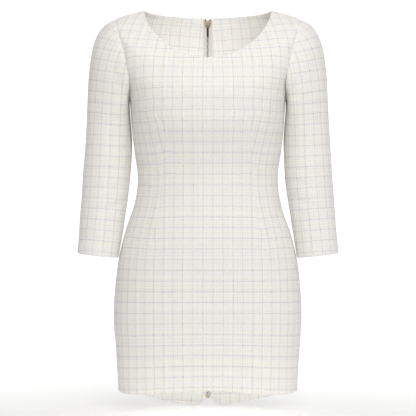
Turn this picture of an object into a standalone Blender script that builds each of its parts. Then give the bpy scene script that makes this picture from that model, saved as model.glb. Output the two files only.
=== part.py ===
"""A bodycon dress in checked tweed, filled out as if worn, with nothing inside it.

Scoop neck, set-in three-quarter sleeves, a fitted waist, a mini-length skirt and an exposed
metal zip down the centre back, which ends in a small vent at the hem.

Metres, +Z up, +X to the right of someone who faces the front, and the front faces -Y. The origin
is where the shoulders carry the dress: level with the shoulder seams' outer ends, at x = 0.

The body is one lofted surface from the hem to the neckline. A point on it has an angle and a level:
angle 0 is the right side meridian (side seam, armhole, shoulder seam), -90 degrees is the centre
front and +90 degrees the centre back, and the level runs up the side from the hem. Each panel is
a part of that surface with the cloth's thickness on its inside.
"""

import math
from typing import NamedTuple

import bmesh
import bpy
import numpy as np
from mathutils import Matrix, Vector

# ---------------------------------------------------------------- driving dimensions

CLOTH = 0.002  # tweed with its backing
SEAM_GAP = 0.0004  # between the cut edges that a seam joins
SLEEVE_GAP = 0.0005  # between a sleeve head and its armhole

UNDERARM = 0.596  # levels: heights up the side from the hem
SHOULDER = 0.757
NECKLINE = 0.822

FRONT_HEM_RISE = 0.009  # the front hem lifts at its middle
FRONT_HEM_BOW = 0.006  # and hangs lower half-way to each side
BACK_HEM_DIP = 0.044  # the back hem hangs lower
BACK_HEM_POWER = 2.3
VENT_HEIGHT = 0.0235  # the vent at the zip's lower end
VENT_WIDTH = 0.011
NECK_DIP = 0.0028  # the neckline parts a little at the top of the zip
NECK_DIP_WIDTH = 0.006

ARMHOLE_FRONT = math.radians(34)  # half-angle that the armhole takes out of each panel
ARMHOLE_BACK = math.radians(31)
ARMHOLE_TOP_POWER = 0.6  # under 1 makes its upper end squarer
ARMHOLE_FOOT_POWER = 1.0

SHOULDER_SLOPE = math.radians(14)  # the way a sleeve leaves its armhole, below level
UNDERARM_SLOPE = math.radians(60)

CLEARANCE = 0.0003  # between pieces that lie on each other
ZIP_SLIT = 0.0033  # from the centre back to each cloth edge
TAPE_EDGE = 0.0030  # from the centre back to each tape's inner edge
TAPE_WIDTH = 0.007
TAPE = 0.0008
TAPE_CLEARANCE = 0.0005  # between the tapes and the cloth that they are sewn to
TAPE_TOP = 0.8165  # levels of the ends of tapes and chain
TAPE_BOTTOM = -0.0190
CHAIN_WIDTH = 0.0052
CHAIN = 0.0026
CHAIN_SINK = 0.0014  # how deep the chain's face lies in the slit
CHAIN_TOP = 0.8010
CHAIN_BOTTOM = -0.0217
LEAST_ROW = 0.004  # the least distance in level from a strip's end to its next row

SLIDER_LEVEL = 0.7945
SLIDER_HEIGHT = 0.0155
SLIDER_TOP_WIDTH = 0.0160
SLIDER_FOOT_WIDTH = 0.0090
SLIDER_CORNER = 0.0012  # cut off each corner of its plates
PLATE = 0.0012
INNER_PLATE_DEPTH = 0.0047  # from the cloth's face to the inner plate
POST_WIDTH = 0.0022
POST_HEIGHT = 0.0045
POST_INSET = 0.0004  # from the plates' top edge
BRIDGE_WIDTH = 0.0024
BRIDGE_ROOM = 0.0026  # under the bridge, where the pull's bar turns
BRIDGE = 0.0010
BRIDGE_ABOVE = 0.0015  # free room above and below the bar
BRIDGE_BELOW = 0.0020
BAR_UP = 0.0010  # the bar's place above the slider's middle
BAR = 0.0014
PULL_WIDTH = 0.0062
PULL_FOOT_WIDTH = 0.0078
PULL_LENGTH = 0.0300
PULL_NECK_LENGTH = 0.0070  # where the tab starts to widen
PULL_FOOT_LENGTH = 0.0060  # its widest stretch, with the corners
PULL_CORNER = 0.0021  # cut off each lower corner
PULL_EYE_WIDTH = 0.0036
PULL_EYE_LENGTH = 0.0039

STOP_WIDTH = 0.0024
STOP_HEIGHT = 0.0028
STOP_DEPTH = 0.0016
STOP_OUT = 0.0046  # from the centre back
END_BOX_WIDTH = 0.0090
END_BOX_HEIGHT = 0.0080
END_BOX_DEPTH = 0.0030
BLOCK_EDGE = 0.0004  # the rounding of the small blocks' edges
SHARP_ANGLE = math.radians(40)

BODY_ROWS = 22
ARMHOLE_ROWS = 10
SHOULDER_ROWS = 3
FRONT_COLUMNS = 26
BACK_COLUMNS = 14
BACK_COLUMN_POWER = 1.5  # over 1 draws the columns together at the vent
SLEEVE_HEAD_ROWS = 9
SLEEVE_ROWS = 9


class Ring(NamedTuple):
    """A horizontal or saddle-shaped ring of the body, measured on the outside of the cloth."""

    name: str
    level: float
    side_z: float
    front_z: float
    back_z: float
    half_width: float
    side_y: float
    front_y: float
    back_y: float
    square: float
    front_arch: float
    back_arch: float


TORSO = (
    Ring("below hem", -0.060, -0.824, -0.824, -0.824, 0.1815, 0.004, -0.099, 0.111, 0.020, 2.0, 2.0),
    Ring("hem", 0.000, -0.764, -0.764, -0.764, 0.1833, 0.004, -0.100, 0.113, 0.020, 2.0, 2.0),
    Ring("thigh", 0.074, -0.690, -0.690, -0.690, 0.1880, 0.005, -0.104, 0.118, 0.020, 2.0, 2.0),
    Ring("hip", 0.155, -0.609, -0.609, -0.609, 0.1930, 0.005, -0.109, 0.125, 0.020, 2.0, 2.0),
    Ring("upper hip", 0.244, -0.520, -0.520, -0.520, 0.1864, 0.004, -0.112, 0.122, 0.020, 2.0, 2.0),
    Ring("high hip", 0.324, -0.440, -0.440, -0.440, 0.1693, 0.002, -0.108, 0.106, 0.015, 2.0, 2.0),
    Ring("below waist", 0.384, -0.380, -0.380, -0.380, 0.1492, 0.000, -0.100, 0.090, 0.010, 2.0, 2.0),
    Ring("waist", 0.434, -0.330, -0.330, -0.330, 0.1430, 0.000, -0.096, 0.084, 0.010, 2.0, 2.0),
    Ring("rib", 0.494, -0.270, -0.270, -0.270, 0.1512, 0.000, -0.108, 0.089, 0.015, 2.0, 2.0),
    Ring("bust", 0.549, -0.215, -0.215, -0.215, 0.1568, 0.001, -0.127, 0.098, 0.032, 2.0, 2.0),
    Ring("underarm", 0.596, -0.168, -0.168, -0.168, 0.1600, 0.003, -0.127, 0.105, 0.050, 2.0, 2.0),
    Ring("mid armhole", 0.676, -0.088, -0.138, -0.092, 0.1880, 0.006, -0.119, 0.106, 0.038, 1.9, 1.9),
    Ring("shoulder tip", 0.7485, -0.0085, -0.1165, -0.028, 0.1970, 0.008, -0.110, 0.093, 0.015, 1.60, 1.8),
    Ring("shoulder", 0.757, -0.004, -0.113, -0.022, 0.1920, 0.008, -0.1085, 0.0905, 0.010, 1.55, 1.8),
    Ring("neckline", 0.822, 0.0157, -0.093, 0.0065, 0.1320, 0.015, -0.100, 0.080, 0.000, 1.3, 1.6),
)


class SleeveRing(NamedTuple):
    """An oval of the sleeve, tilted square to the arm, measured on the outside of the cloth."""

    name: str
    z: float
    centre_x: float
    centre_y: float
    half_x: float
    half_y: float
    tilt: float


SLEEVE = (
    SleeveRing("upper arm", -0.262, 0.2034, 0.004, 0.0480, 0.0530, 0.0),
    SleeveRing("above elbow", -0.323, 0.2068, 0.002, 0.0489, 0.0510, 2.0),
    SleeveRing("elbow", -0.407, 0.2152, -0.004, 0.0458, 0.0480, 5.0),
    SleeveRing("cuff", -0.487, 0.2243, -0.014, 0.0427, 0.0445, 6.5),
)

HEAD_SLOPE_POWER = 1.2  # over 1 keeps the shallow slope further round the shoulder
# How far the head's columns aim along their start and end directions before they bend.
HEAD_START_TOP = 0.200
HEAD_START_UNDERARM = 0.018
HEAD_END_TOP = 0.360
HEAD_END_UNDERARM = 0.080


# ---------------------------------------------------------------- the body's surface


def monotone_slopes(at, values):
    """Slopes for a smooth curve through the values that doesn't overshoot them."""
    steps = np.diff(values, axis=0) / np.diff(at)[:, None]
    spans = np.diff(at)[:, None]
    slopes = np.zeros_like(values)
    before, after = steps[:-1], steps[1:]
    same_way = before * after > 0
    w1 = 2 * spans[1:] + spans[:-1]
    w2 = spans[1:] + 2 * spans[:-1]
    safe_before = np.where(same_way, before, 1.0)
    safe_after = np.where(same_way, after, 1.0)
    mean = (w1 + w2) / (w1 / safe_before + w2 / safe_after)
    slopes[1:-1] = np.where(same_way, mean, 0.0)
    slopes[0], slopes[-1] = steps[0], steps[-1]
    return slopes


class Table:
    """A smooth curve through the number columns of a table of rings, softened over a short distance."""

    WEIGHTS = (1 / 16, 4 / 16, 6 / 16, 4 / 16, 1 / 16)

    def __init__(self, rows, key, soft):
        self.soft = soft
        self.names = [n for n in rows[0]._fields if n not in ("name", key)]
        self.at = np.array([getattr(r, key) for r in rows])
        self.values = np.array([[getattr(r, n) for n in self.names] for r in rows])
        self.slopes = monotone_slopes(self.at, self.values)

    def curve(self, where):
        """The columns' values, running on straight past either end."""
        inside = np.clip(where, self.at[0], self.at[-1])
        i = np.clip(np.searchsorted(self.at, inside) - 1, 0, len(self.at) - 2)
        span = (self.at[i + 1] - self.at[i])[..., None]
        t = ((inside - self.at[i]) / span[..., 0])[..., None]
        past = (where - inside)[..., None]
        end_slope = np.where(past < 0, self.slopes[0], self.slopes[-1])
        return (
            (2 * t**3 - 3 * t**2 + 1) * self.values[i]
            + (t**3 - 2 * t**2 + t) * span * self.slopes[i]
            + (3 * t**2 - 2 * t**3) * self.values[i + 1]
            + (t**3 - t**2) * span * self.slopes[i + 1]
            + past * end_slope
        )

    def __call__(self, where):
        """{column: value} at these places, which may be an array."""
        where = np.asarray(where, float)
        value = sum(w * self.curve(where + (k - 2) * self.soft) for k, w in enumerate(self.WEIGHTS))
        return {name: value[..., k] for k, name in enumerate(self.names)}


torso_table = Table(TORSO, "level", soft=0.010)


def torso_point(angle, level):
    """Points on the outside of the body, for arrays of angles and levels."""
    angle, level = np.broadcast_arrays(np.asarray(angle, float), np.asarray(level, float))
    ring = torso_table(level)
    across, along = np.cos(angle), np.sin(angle)
    corner = ring["square"]
    x = ring["half_width"] * (across - corner * np.cos(3 * angle)) / (1 - corner)
    reach = (along + corner * np.sin(3 * angle)) / (1 - corner)
    front = along < 0
    end_y = np.where(front, ring["front_y"], ring["back_y"])
    end_z = np.where(front, ring["front_z"], ring["back_z"])
    arch = np.where(front, ring["front_arch"], ring["back_arch"])
    y = ring["side_y"] + (end_y - ring["side_y"]) * np.abs(reach)
    z = ring["side_z"] + (end_z - ring["side_z"]) * np.abs(along) ** arch
    return np.stack([x, y, z], axis=-1)


def torso_normal(angle, level):
    """Outward unit normals of the body's surface."""
    step_angle, step_level = 1e-4, 1e-5
    round_it = torso_point(angle + step_angle, level) - torso_point(angle - step_angle, level)
    up_it = torso_point(angle, level + step_level) - torso_point(angle, level - step_level)
    normal = np.cross(round_it, up_it)
    return normal / np.linalg.norm(normal, axis=-1, keepdims=True)


def angle_for_gap(angle, level, gap):
    """The angle that a distance along the ring takes up."""
    step = 1e-4
    moved = torso_point(angle + step, level) - torso_point(angle, level)
    return gap * step / np.linalg.norm(moved, axis=-1)


def on_seam(angles):
    """The angles, with those of a panel's side edge moved onto the seam, where both walls turn alike."""
    near = 0.01
    seam = np.round(angles / math.pi) * math.pi
    return np.where(np.abs(angles - seam) < near, seam, angles)


def hem_level(angle):
    """The level of the hem: raised in front, lower behind, with the vent at the centre back."""
    along = np.sin(angle)
    front = FRONT_HEM_RISE * along**2 - FRONT_HEM_BOW * np.sin(2 * angle) ** 2
    from_centre = np.abs(np.cos(angle)) * TORSO[1].half_width
    vent = VENT_HEIGHT * np.exp(-((from_centre / VENT_WIDTH) ** 2))
    back = -BACK_HEM_DIP * np.abs(along) ** BACK_HEM_POWER + vent
    return np.where(along < 0, front, back)


def neck_level(angle):
    """The level of the neckline, a little lower beside the zip."""
    from_centre = np.abs(np.cos(angle)) * TORSO[-1].half_width
    dip = NECK_DIP * np.exp(-((from_centre / NECK_DIP_WIDTH) ** 2))
    return np.where(np.sin(angle) > 0, NECKLINE - dip, NECKLINE)


def armhole_rows():
    """(level, share of the armhole's half-angle) from the underarm to the shoulder."""
    turn = np.linspace(0, math.pi, ARMHOLE_ROWS + 1)
    up = (1 - np.cos(turn)) / 2
    power = ARMHOLE_FOOT_POWER + (ARMHOLE_TOP_POWER - ARMHOLE_FOOT_POWER) * up
    return UNDERARM + (SHOULDER - UNDERARM) * up, np.abs(np.sin(turn)) ** power


def panel_rows():
    """(kind, place, share of the armhole's half-angle) for each row of a panel, from the hem up."""
    rows = [("below", i / BODY_ROWS, 0.0) for i in range(BODY_ROWS)]
    rows += [("armhole", level, share) for level, share in zip(*armhole_rows())]
    rows += [("above", (i + 1) / SHOULDER_ROWS, 0.0) for i in range(SHOULDER_ROWS)]
    return rows


def row_levels(kind, place, angles):
    """The level of each point of a row."""
    if kind == "below":
        hem = hem_level(angles)
        return hem + (UNDERARM - hem) * place
    if kind == "above":
        return SHOULDER + (neck_level(angles) - SHOULDER) * place
    return np.full_like(angles, place)


def usual_level(kind, place):
    """The level of a row where neither the hem nor the neckline dips."""
    above = SHOULDER + (NECKLINE - SHOULDER) * place
    return {"below": UNDERARM * place, "above": above}.get(kind, place)


def panel_grid(edges, columns, yields, armhole):
    """Points and normals of a panel.

    edges gives its two edge angles at a level, and columns each column's share of the way between
    them. yields is how far each column turns away from the armhole, from -1 to 1 of its half-angle.
    """
    points, normals = [], []
    for kind, place, share in panel_rows():
        start, end = edges(usual_level(kind, place))
        angles = start + (end - start) * columns + armhole * share * yields
        levels = row_levels(kind, place, angles)
        points.append(torso_point(angles, levels))
        normals.append(torso_normal(on_seam(angles), levels))
    return np.array(points), np.array(normals)


# ---------------------------------------------------------------- walls


def wall(name, points, normals, thickness, material, tube=False, mirrored=False):
    """A solid of one thickness, with the given points on its outer face."""
    points, normals = np.array(points), np.array(normals)
    if mirrored:
        points, normals = points * (-1, 1, 1), normals * (-1, 1, 1)
    rows, columns = points.shape[:2]
    mesh = bmesh.new()
    outer = [[mesh.verts.new(p) for p in row] for row in points]
    inner = [[mesh.verts.new(p) for p in row] for row in points - normals * thickness]
    across = columns if tube else columns - 1
    for i in range(rows - 1):
        for j in range(across):
            k = (j + 1) % columns
            mesh.faces.new((outer[i][j], outer[i][k], outer[i + 1][k], outer[i + 1][j]))
            mesh.faces.new((inner[i][j], inner[i + 1][j], inner[i + 1][k], inner[i][k]))
    for j in range(across):
        k = (j + 1) % columns
        mesh.faces.new((outer[0][j], inner[0][j], inner[0][k], outer[0][k]))
        mesh.faces.new((outer[-1][j], outer[-1][k], inner[-1][k], inner[-1][j]))
    if not tube:
        for i in range(rows - 1):
            mesh.faces.new((outer[i][0], outer[i + 1][0], inner[i + 1][0], inner[i][0]))
            mesh.faces.new((outer[i][-1], inner[i][-1], inner[i + 1][-1], outer[i + 1][-1]))
    bmesh.ops.recalc_face_normals(mesh, faces=mesh.faces)
    data = bpy.data.meshes.new(name)
    mesh.to_mesh(data)
    mesh.free()
    return add_object(name, data, material)


def add_object(name, data, material):
    """Adds a mesh to the dress's collection, smooth with sharp edges."""
    made = bpy.data.objects.new(name, data)
    data.shade_smooth()
    data.set_sharp_from_angle(angle=SHARP_ANGLE)
    data.materials.clear()
    data.materials.append(material)
    dress.objects.link(made)
    return made


# ---------------------------------------------------------------- panels


def make_front(material):
    """The front, cut in one piece from side seam to side seam."""
    columns = np.linspace(0, 1, FRONT_COLUMNS + 1)
    from_centre = 2 * columns - 1

    def edges(level):
        gap = angle_for_gap(0.0, level, SEAM_GAP / 2)
        return gap - math.pi, -gap

    points, normals = panel_grid(edges, columns, -from_centre * np.abs(from_centre), ARMHOLE_FRONT)
    wall("front", points, normals, CLOTH, material)


def centre_back_angle(level, from_centre):
    """The angle at which the back is this far from the centre back."""
    ring = torso_table(level)
    corner = ring["square"]
    share = from_centre * (1 - corner) / (ring["half_width"] * (1 + 3 * corner))
    return math.pi / 2 - np.arcsin(share)


def make_backs(material):
    """The two halves of the back, from the side seam to the zip, with columns closer at the vent."""
    columns = 1 - np.linspace(1, 0, BACK_COLUMNS + 1) ** BACK_COLUMN_POWER

    def edges(level):
        return angle_for_gap(0.0, level, SEAM_GAP / 2), centre_back_angle(level, ZIP_SLIT)

    points, normals = panel_grid(edges, columns, (1 - columns) ** 2, ARMHOLE_BACK)
    wall("back_right", points, normals, CLOTH, material)
    wall("back_left", points, normals, CLOTH, material, mirrored=True)


# ---------------------------------------------------------------- sleeves

sleeve_table = Table(tuple(reversed(SLEEVE)), "z", soft=0.012)


def armhole_curve():
    """Points and body normals round the right armhole: shoulder, front, underarm, back."""
    levels, shares = armhole_rows()
    front = list(zip(levels, -ARMHOLE_FRONT * shares))[::-1]
    back = list(zip(levels, ARMHOLE_BACK * shares))[1:-1]
    level, angle = np.array(front + back).T
    return torso_point(angle, level), torso_normal(angle, level)


def sleeve_ring(z, turn):
    """Points of an oval of the sleeve. turn 0 is the outer side, a quarter turn is the front."""
    ring = sleeve_table(z)
    tilt = np.radians(ring["tilt"])
    sideways = ring["half_x"] * np.cos(turn)
    x = ring["centre_x"] + sideways * np.cos(tilt)
    y = ring["centre_y"] - ring["half_y"] * np.sin(turn)
    return np.stack([x, y, z + sideways * np.sin(tilt)], axis=-1)


def sleeve_grid():
    """Points of the right sleeve: the head from the armhole to the upper arm, then the ovals to the cuff."""
    edge, edge_normal = armhole_curve()
    count = len(edge)
    turn = np.arange(count) * 2 * math.pi / count
    low = (1 - np.cos(turn)) / 2  # 0 at the shoulder, 1 at the underarm
    slope = SHOULDER_SLOPE + (UNDERARM_SLOPE - SHOULDER_SLOPE) * low**HEAD_SLOPE_POWER
    start = np.stack([np.cos(slope), np.zeros(count), -np.sin(slope)], axis=-1)
    start_reach = HEAD_START_TOP + (HEAD_START_UNDERARM - HEAD_START_TOP) * low
    end_reach = HEAD_END_TOP + (HEAD_END_UNDERARM - HEAD_END_TOP) * low
    top_z, step = SLEEVE[0].z, 0.004
    arm = sleeve_ring(top_z, turn)
    down = sleeve_ring(top_z - step, turn) - arm
    down /= np.linalg.norm(down, axis=-1, keepdims=True)
    edge = edge + start * SLEEVE_GAP + edge_normal * CLEARANCE * low[:, None]
    rows = []
    for t in np.linspace(0, 1, SLEEVE_HEAD_ROWS + 1)[:-1]:
        rows.append(
            (2 * t**3 - 3 * t**2 + 1) * edge
            + (t**3 - 2 * t**2 + t) * start * start_reach[:, None]
            + (3 * t**2 - 2 * t**3) * arm
            + (t**3 - t**2) * down * end_reach[:, None]
        )
    for z in np.linspace(top_z, SLEEVE[-1].z, SLEEVE_ROWS + 1):
        rows.append(sleeve_ring(z, turn))
    return np.array(rows)


def grid_normals(points):
    """Outward normals of a tube's grid, from its neighbours."""
    round_it = np.roll(points, -1, axis=1) - np.roll(points, 1, axis=1)
    down_it = np.gradient(points, axis=0)
    normal = np.cross(round_it, down_it)
    return normal / np.linalg.norm(normal, axis=-1, keepdims=True)


def make_sleeves(material):
    points = sleeve_grid()
    normals = grid_normals(points)
    wall("sleeve_right", points, normals, CLOTH, material, tube=True)
    wall("sleeve_left", points, normals, CLOTH, material, tube=True, mirrored=True)


# ---------------------------------------------------------------- zip


def beside_zip(level, x, depth):
    """A point and its normal beside the centre back, this deep under the cloth's face."""
    angle = centre_back_angle(level, abs(x))
    side = np.array((math.copysign(1, x), 1, 1))
    normal = torso_normal(angle, level) * side
    return torso_point(angle, level) * side - normal * depth, normal


def rows_beside_zip(x, bottom, top):
    """The levels of the back panel's own rows at this x, between two end levels."""
    levels = [bottom]
    for kind, place, _ in panel_rows():
        angle = centre_back_angle(usual_level(kind, place), abs(x))
        level = float(row_levels(kind, place, angle))
        if bottom + LEAST_ROW < level < top - LEAST_ROW:
            levels.append(level)
    return levels + [top]


def zip_strip(name, edges, depth, thickness, ends, material):
    """A strip that follows the centre back, from one x to another, in rows that match the panels'."""
    points, normals = [], []
    for levels in zip(*(rows_beside_zip(x, *ends) for x in edges)):
        row = [beside_zip(level, x, depth) for level, x in zip(levels, edges)]
        points.append([p for p, _ in row])
        normals.append([n for _, n in row])
    return wall(name, points, normals, thickness, material)


def slider_frame(level):
    """The frame of a flat piece on the zip: x across, seen from behind, y up the zip, z out of the cloth."""
    here, up_there = (torso_point(math.pi / 2, level + d) for d in (-1e-3, 1e-3))
    up = Vector(up_there - here).normalized()
    across = Vector((-1, 0, 0))
    frame = Matrix((across, up, across.cross(up))).transposed().to_4x4()
    frame.translation = (here + up_there) / 2
    return frame


def plate(name, outline, low, high):
    """A mesh of a flat outline in x and y, from one z to another."""
    shape = bmesh.new()
    face = shape.faces.new([shape.verts.new((x, y, low)) for x, y in outline])
    raised = bmesh.ops.extrude_face_region(shape, geom=[face])["geom"]
    moved = [v for v in raised if isinstance(v, bmesh.types.BMVert)]
    bmesh.ops.translate(shape, verts=moved, vec=(0, 0, high - low))
    bmesh.ops.recalc_face_normals(shape, faces=shape.faces)
    data = bpy.data.meshes.new(name)
    shape.to_mesh(data)
    shape.free()
    return data


def box_outline(left, bottom, right, top):
    return ((left, bottom), (right, bottom), (right, top), (left, top))


def add_helper(name, data, frame):
    """A hidden solid that a Boolean joins to a piece or cuts from it."""
    made = bpy.data.objects.new(name, data)
    made.hide_render = True
    made.display_type = "WIRE"
    made.matrix_world = frame
    helpers.objects.link(made)
    return made


def combine(piece, helper, operation):
    boolean = piece.modifiers.new(helper.name, "BOOLEAN")
    boolean.operation = operation
    boolean.object = helper


def make_slider(frame, material):
    """Two plates held apart by a post, with the bridge that carries the pull."""
    half, top, foot = SLIDER_HEIGHT / 2, SLIDER_TOP_WIDTH / 2, SLIDER_FOOT_WIDTH / 2
    cut = SLIDER_CORNER
    right = [(foot - cut, -half), (foot, cut - half), (top, half - cut), (top - cut, half)]
    outline = right + [(-x, y) for x, y in reversed(right)]
    outer_face = CLEARANCE + PLATE
    slider = add_object("zip_slider", plate("outer plate", outline, CLEARANCE, outer_face), material)
    slider.matrix_world = frame
    inner_face = -INNER_PLATE_DEPTH
    inner = add_helper("inner plate", plate("inner plate", outline, inner_face - PLATE, inner_face), frame)
    post_outline = box_outline(-POST_WIDTH / 2, half - POST_HEIGHT, POST_WIDTH / 2, half - POST_INSET)
    sunk = PLATE / 2
    post = add_helper("post", plate("post", post_outline, inner_face - sunk, CLEARANCE + sunk), frame)
    foot_y, head_y = BAR_UP - BRIDGE_BELOW - BRIDGE, BAR_UP + BRIDGE_ABOVE + BRIDGE
    side = BRIDGE_WIDTH / 2
    crown = outer_face + BRIDGE_ROOM + BRIDGE
    bridge_outline = box_outline(-side, foot_y, side, head_y)
    bridge = add_helper("bridge", plate("bridge", bridge_outline, outer_face - sunk, crown), frame)
    room_outline = box_outline(-2 * side, foot_y + BRIDGE, 2 * side, head_y - BRIDGE)
    room = add_helper("bar's room", plate("room", room_outline, outer_face, outer_face + BRIDGE_ROOM), frame)
    combine(bridge, room, "DIFFERENCE")
    for helper in (inner, post, bridge):
        combine(slider, helper, "UNION")


def make_pull(frame, material):
    """The tab, which hangs from its bar under the bridge. Its origin is on the bar's axis."""
    bar_out = CLEARANCE + PLATE + BRIDGE_ROOM / 2
    hung = frame @ Matrix.Translation((0, BAR_UP, bar_out))
    neck, foot, top, tip = PULL_WIDTH / 2, PULL_FOOT_WIDTH / 2, BAR / 2, -PULL_LENGTH
    right = [(neck, top), (neck, -PULL_NECK_LENGTH), (foot, tip + PULL_FOOT_LENGTH)]
    right += [(foot, tip + PULL_CORNER), (foot - PULL_CORNER, tip)]
    outline = [(-x, y) for x, y in reversed(right)] + right
    pull = add_object("zip_pull", plate("pull", outline, -BAR / 2, BAR / 2), material)
    pull.matrix_world = hung
    eye = box_outline(-PULL_EYE_WIDTH / 2, -top - PULL_EYE_LENGTH, PULL_EYE_WIDTH / 2, -top)
    combine(pull, add_helper("eye", plate("eye", eye, -BAR, BAR), hung), "DIFFERENCE")


def make_block(name, frame, middle, size, material):
    """A small metal block of the zip with its edges taken off."""
    shape = bmesh.new()
    bmesh.ops.create_cube(shape, size=1.0, matrix=Matrix.Diagonal((*size, 1)))
    data = bpy.data.meshes.new(name)
    shape.to_mesh(data)
    shape.free()
    block = add_object(name, data, material)
    block.matrix_world = frame @ Matrix.Translation(middle)
    bevel = block.modifiers.new("edges", "BEVEL")
    bevel.width = BLOCK_EDGE
    bevel.segments = 2


def make_zip(tape, dark_metal, metal):
    tape_depth = CLOTH + TAPE_CLEARANCE
    tape_edges = (TAPE_EDGE, TAPE_EDGE + TAPE_WIDTH / 2, TAPE_EDGE + TAPE_WIDTH)
    ends = (TAPE_BOTTOM, TAPE_TOP)
    zip_strip("zip_tape_right", tape_edges, tape_depth, TAPE, ends, tape)
    zip_strip("zip_tape_left", [-x for x in tape_edges], tape_depth, TAPE, ends, tape)
    chain_edges = (CHAIN_WIDTH / 2, -CHAIN_WIDTH / 2)
    zip_strip("zip_chain", chain_edges, CHAIN_SINK, CHAIN, (CHAIN_BOTTOM, CHAIN_TOP), dark_metal)
    frame = slider_frame(SLIDER_LEVEL)
    make_slider(frame, metal)
    make_pull(frame, metal)
    stop_depth = tape_depth + TAPE + CLEARANCE + STOP_DEPTH / 2
    stop_up = SLIDER_HEIGHT / 2 + CLEARANCE + STOP_HEIGHT / 2
    for side, x in (("right", -STOP_OUT), ("left", STOP_OUT)):
        size = (STOP_WIDTH, STOP_HEIGHT, STOP_DEPTH)
        make_block(f"zip_top_stop_{side}", frame, (x, stop_up, -stop_depth), size, dark_metal)
    end_frame = slider_frame(CHAIN_BOTTOM)
    size = (END_BOX_WIDTH, END_BOX_HEIGHT, END_BOX_DEPTH)
    middle = (0, -CLEARANCE - END_BOX_HEIGHT / 2, -CLOTH - CLEARANCE - END_BOX_DEPTH / 2)
    make_block("zip_end_box", end_frame, middle, size, metal)


# ---------------------------------------------------------------- materials and assembly


def finish(name, colour, roughness, metallic=0.0):
    material = bpy.data.materials.new(name)
    material.use_nodes = True
    shader = material.node_tree.nodes["Principled BSDF"]
    shader.inputs["Base Color"].default_value = (*colour, 1)
    shader.inputs["Roughness"].default_value = roughness
    shader.inputs["Metallic"].default_value = metallic
    return material


for old in list(bpy.data.objects):
    bpy.data.objects.remove(old, do_unlink=True)
dress = bpy.data.collections.new("bodycon_dress")
helpers = bpy.data.collections.new("helpers")
for group in (dress, helpers):
    bpy.context.scene.collection.children.link(group)

tweed = finish("tweed", (0.82, 0.81, 0.77), 0.9)
cream_tape = finish("zip tape", (0.80, 0.78, 0.73), 0.8)
dark_metal = finish("dark zip metal", (0.11, 0.11, 0.11), 0.4, metallic=1.0)
pale_metal = finish("pale zip metal", (0.46, 0.40, 0.33), 0.35, metallic=1.0)
make_front(tweed)
make_backs(tweed)
make_sleeves(tweed)
make_zip(cream_tape, dark_metal, pale_metal)
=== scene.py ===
"""The looks of the bodycon dress: checked tweed, metal zip, soft studio light.

Metres, +Z up, the front faces -Y. The cloth panels are thin shells on the form of the frame's solids,
made from the same rings, with seams, darts, turned edges and soft folds in them. Each panel is also
laid flat by a small solver, and its place in that flat cut is its cloth coordinate, so the check runs
through the dress as it does through cut cloth, and turns at the darts.
"""

import math
from typing import NamedTuple

import bpy
import numpy as np
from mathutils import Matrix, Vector


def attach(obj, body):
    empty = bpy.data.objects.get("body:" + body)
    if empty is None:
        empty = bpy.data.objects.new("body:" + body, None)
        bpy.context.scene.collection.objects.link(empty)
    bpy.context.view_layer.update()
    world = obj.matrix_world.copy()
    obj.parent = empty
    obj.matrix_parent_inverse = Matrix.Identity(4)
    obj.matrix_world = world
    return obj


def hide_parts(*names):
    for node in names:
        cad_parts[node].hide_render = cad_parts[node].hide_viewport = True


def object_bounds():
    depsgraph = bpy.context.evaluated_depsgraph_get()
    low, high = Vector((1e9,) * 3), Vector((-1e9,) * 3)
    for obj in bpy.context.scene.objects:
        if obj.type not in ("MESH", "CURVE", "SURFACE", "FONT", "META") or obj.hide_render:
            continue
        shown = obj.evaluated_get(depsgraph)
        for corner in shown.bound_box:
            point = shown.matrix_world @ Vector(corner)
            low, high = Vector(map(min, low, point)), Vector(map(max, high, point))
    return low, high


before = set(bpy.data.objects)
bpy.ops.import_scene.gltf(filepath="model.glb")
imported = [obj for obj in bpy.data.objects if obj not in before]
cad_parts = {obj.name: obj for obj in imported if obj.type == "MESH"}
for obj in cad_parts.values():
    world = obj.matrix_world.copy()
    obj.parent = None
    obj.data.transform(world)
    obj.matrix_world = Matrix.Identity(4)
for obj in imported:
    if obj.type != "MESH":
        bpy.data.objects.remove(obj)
frame_low, frame_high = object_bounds()

# ---------------------------------------------------------------- sizes, as in the solids

CLOTH = 0.002
SEAM_GAP = 0.0001  # the sewn edges lie closer together here than in the solids
SLEEVE_GAP = 0.0001
CLEARANCE = 0.0003

UNDERARM = 0.596  # levels: heights up the side from the hem
SHOULDER = 0.757
NECKLINE = 0.822

FRONT_HEM_RISE = 0.009
FRONT_HEM_BOW = 0.006
BACK_HEM_DIP = 0.044
BACK_HEM_POWER = 2.3
VENT_HEIGHT = 0.0235
VENT_WIDTH = 0.011
NECK_DIP = 0.0028
NECK_DIP_WIDTH = 0.006

ARMHOLE_FRONT = math.radians(34)
ARMHOLE_BACK = math.radians(31)
ARMHOLE_TOP_POWER = 0.6
ARMHOLE_FOOT_POWER = 1.0

SHOULDER_SLOPE = math.radians(14)
UNDERARM_SLOPE = math.radians(60)

ZIP_SLIT = 0.0033
TAPE_EDGE = 0.0018  # further in than the solids', where the teeth grip it
TAPE_WIDTH = 0.0082
TAPE = 0.0008
TAPE_CLEARANCE = 0.0005
TAPE_TOP = 0.8165
TAPE_BOTTOM = -0.0190
CHAIN_WIDTH = 0.0052
CHAIN = 0.0026
CHAIN_SINK = 0.0014
CHAIN_TOP = 0.8010
CHAIN_BOTTOM = -0.0217


class Ring(NamedTuple):
    """A ring of the body, measured on the outside of the cloth."""

    name: str
    level: float
    side_z: float
    front_z: float
    back_z: float
    half_width: float
    side_y: float
    front_y: float
    back_y: float
    square: float
    front_arch: float
    back_arch: float


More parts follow.
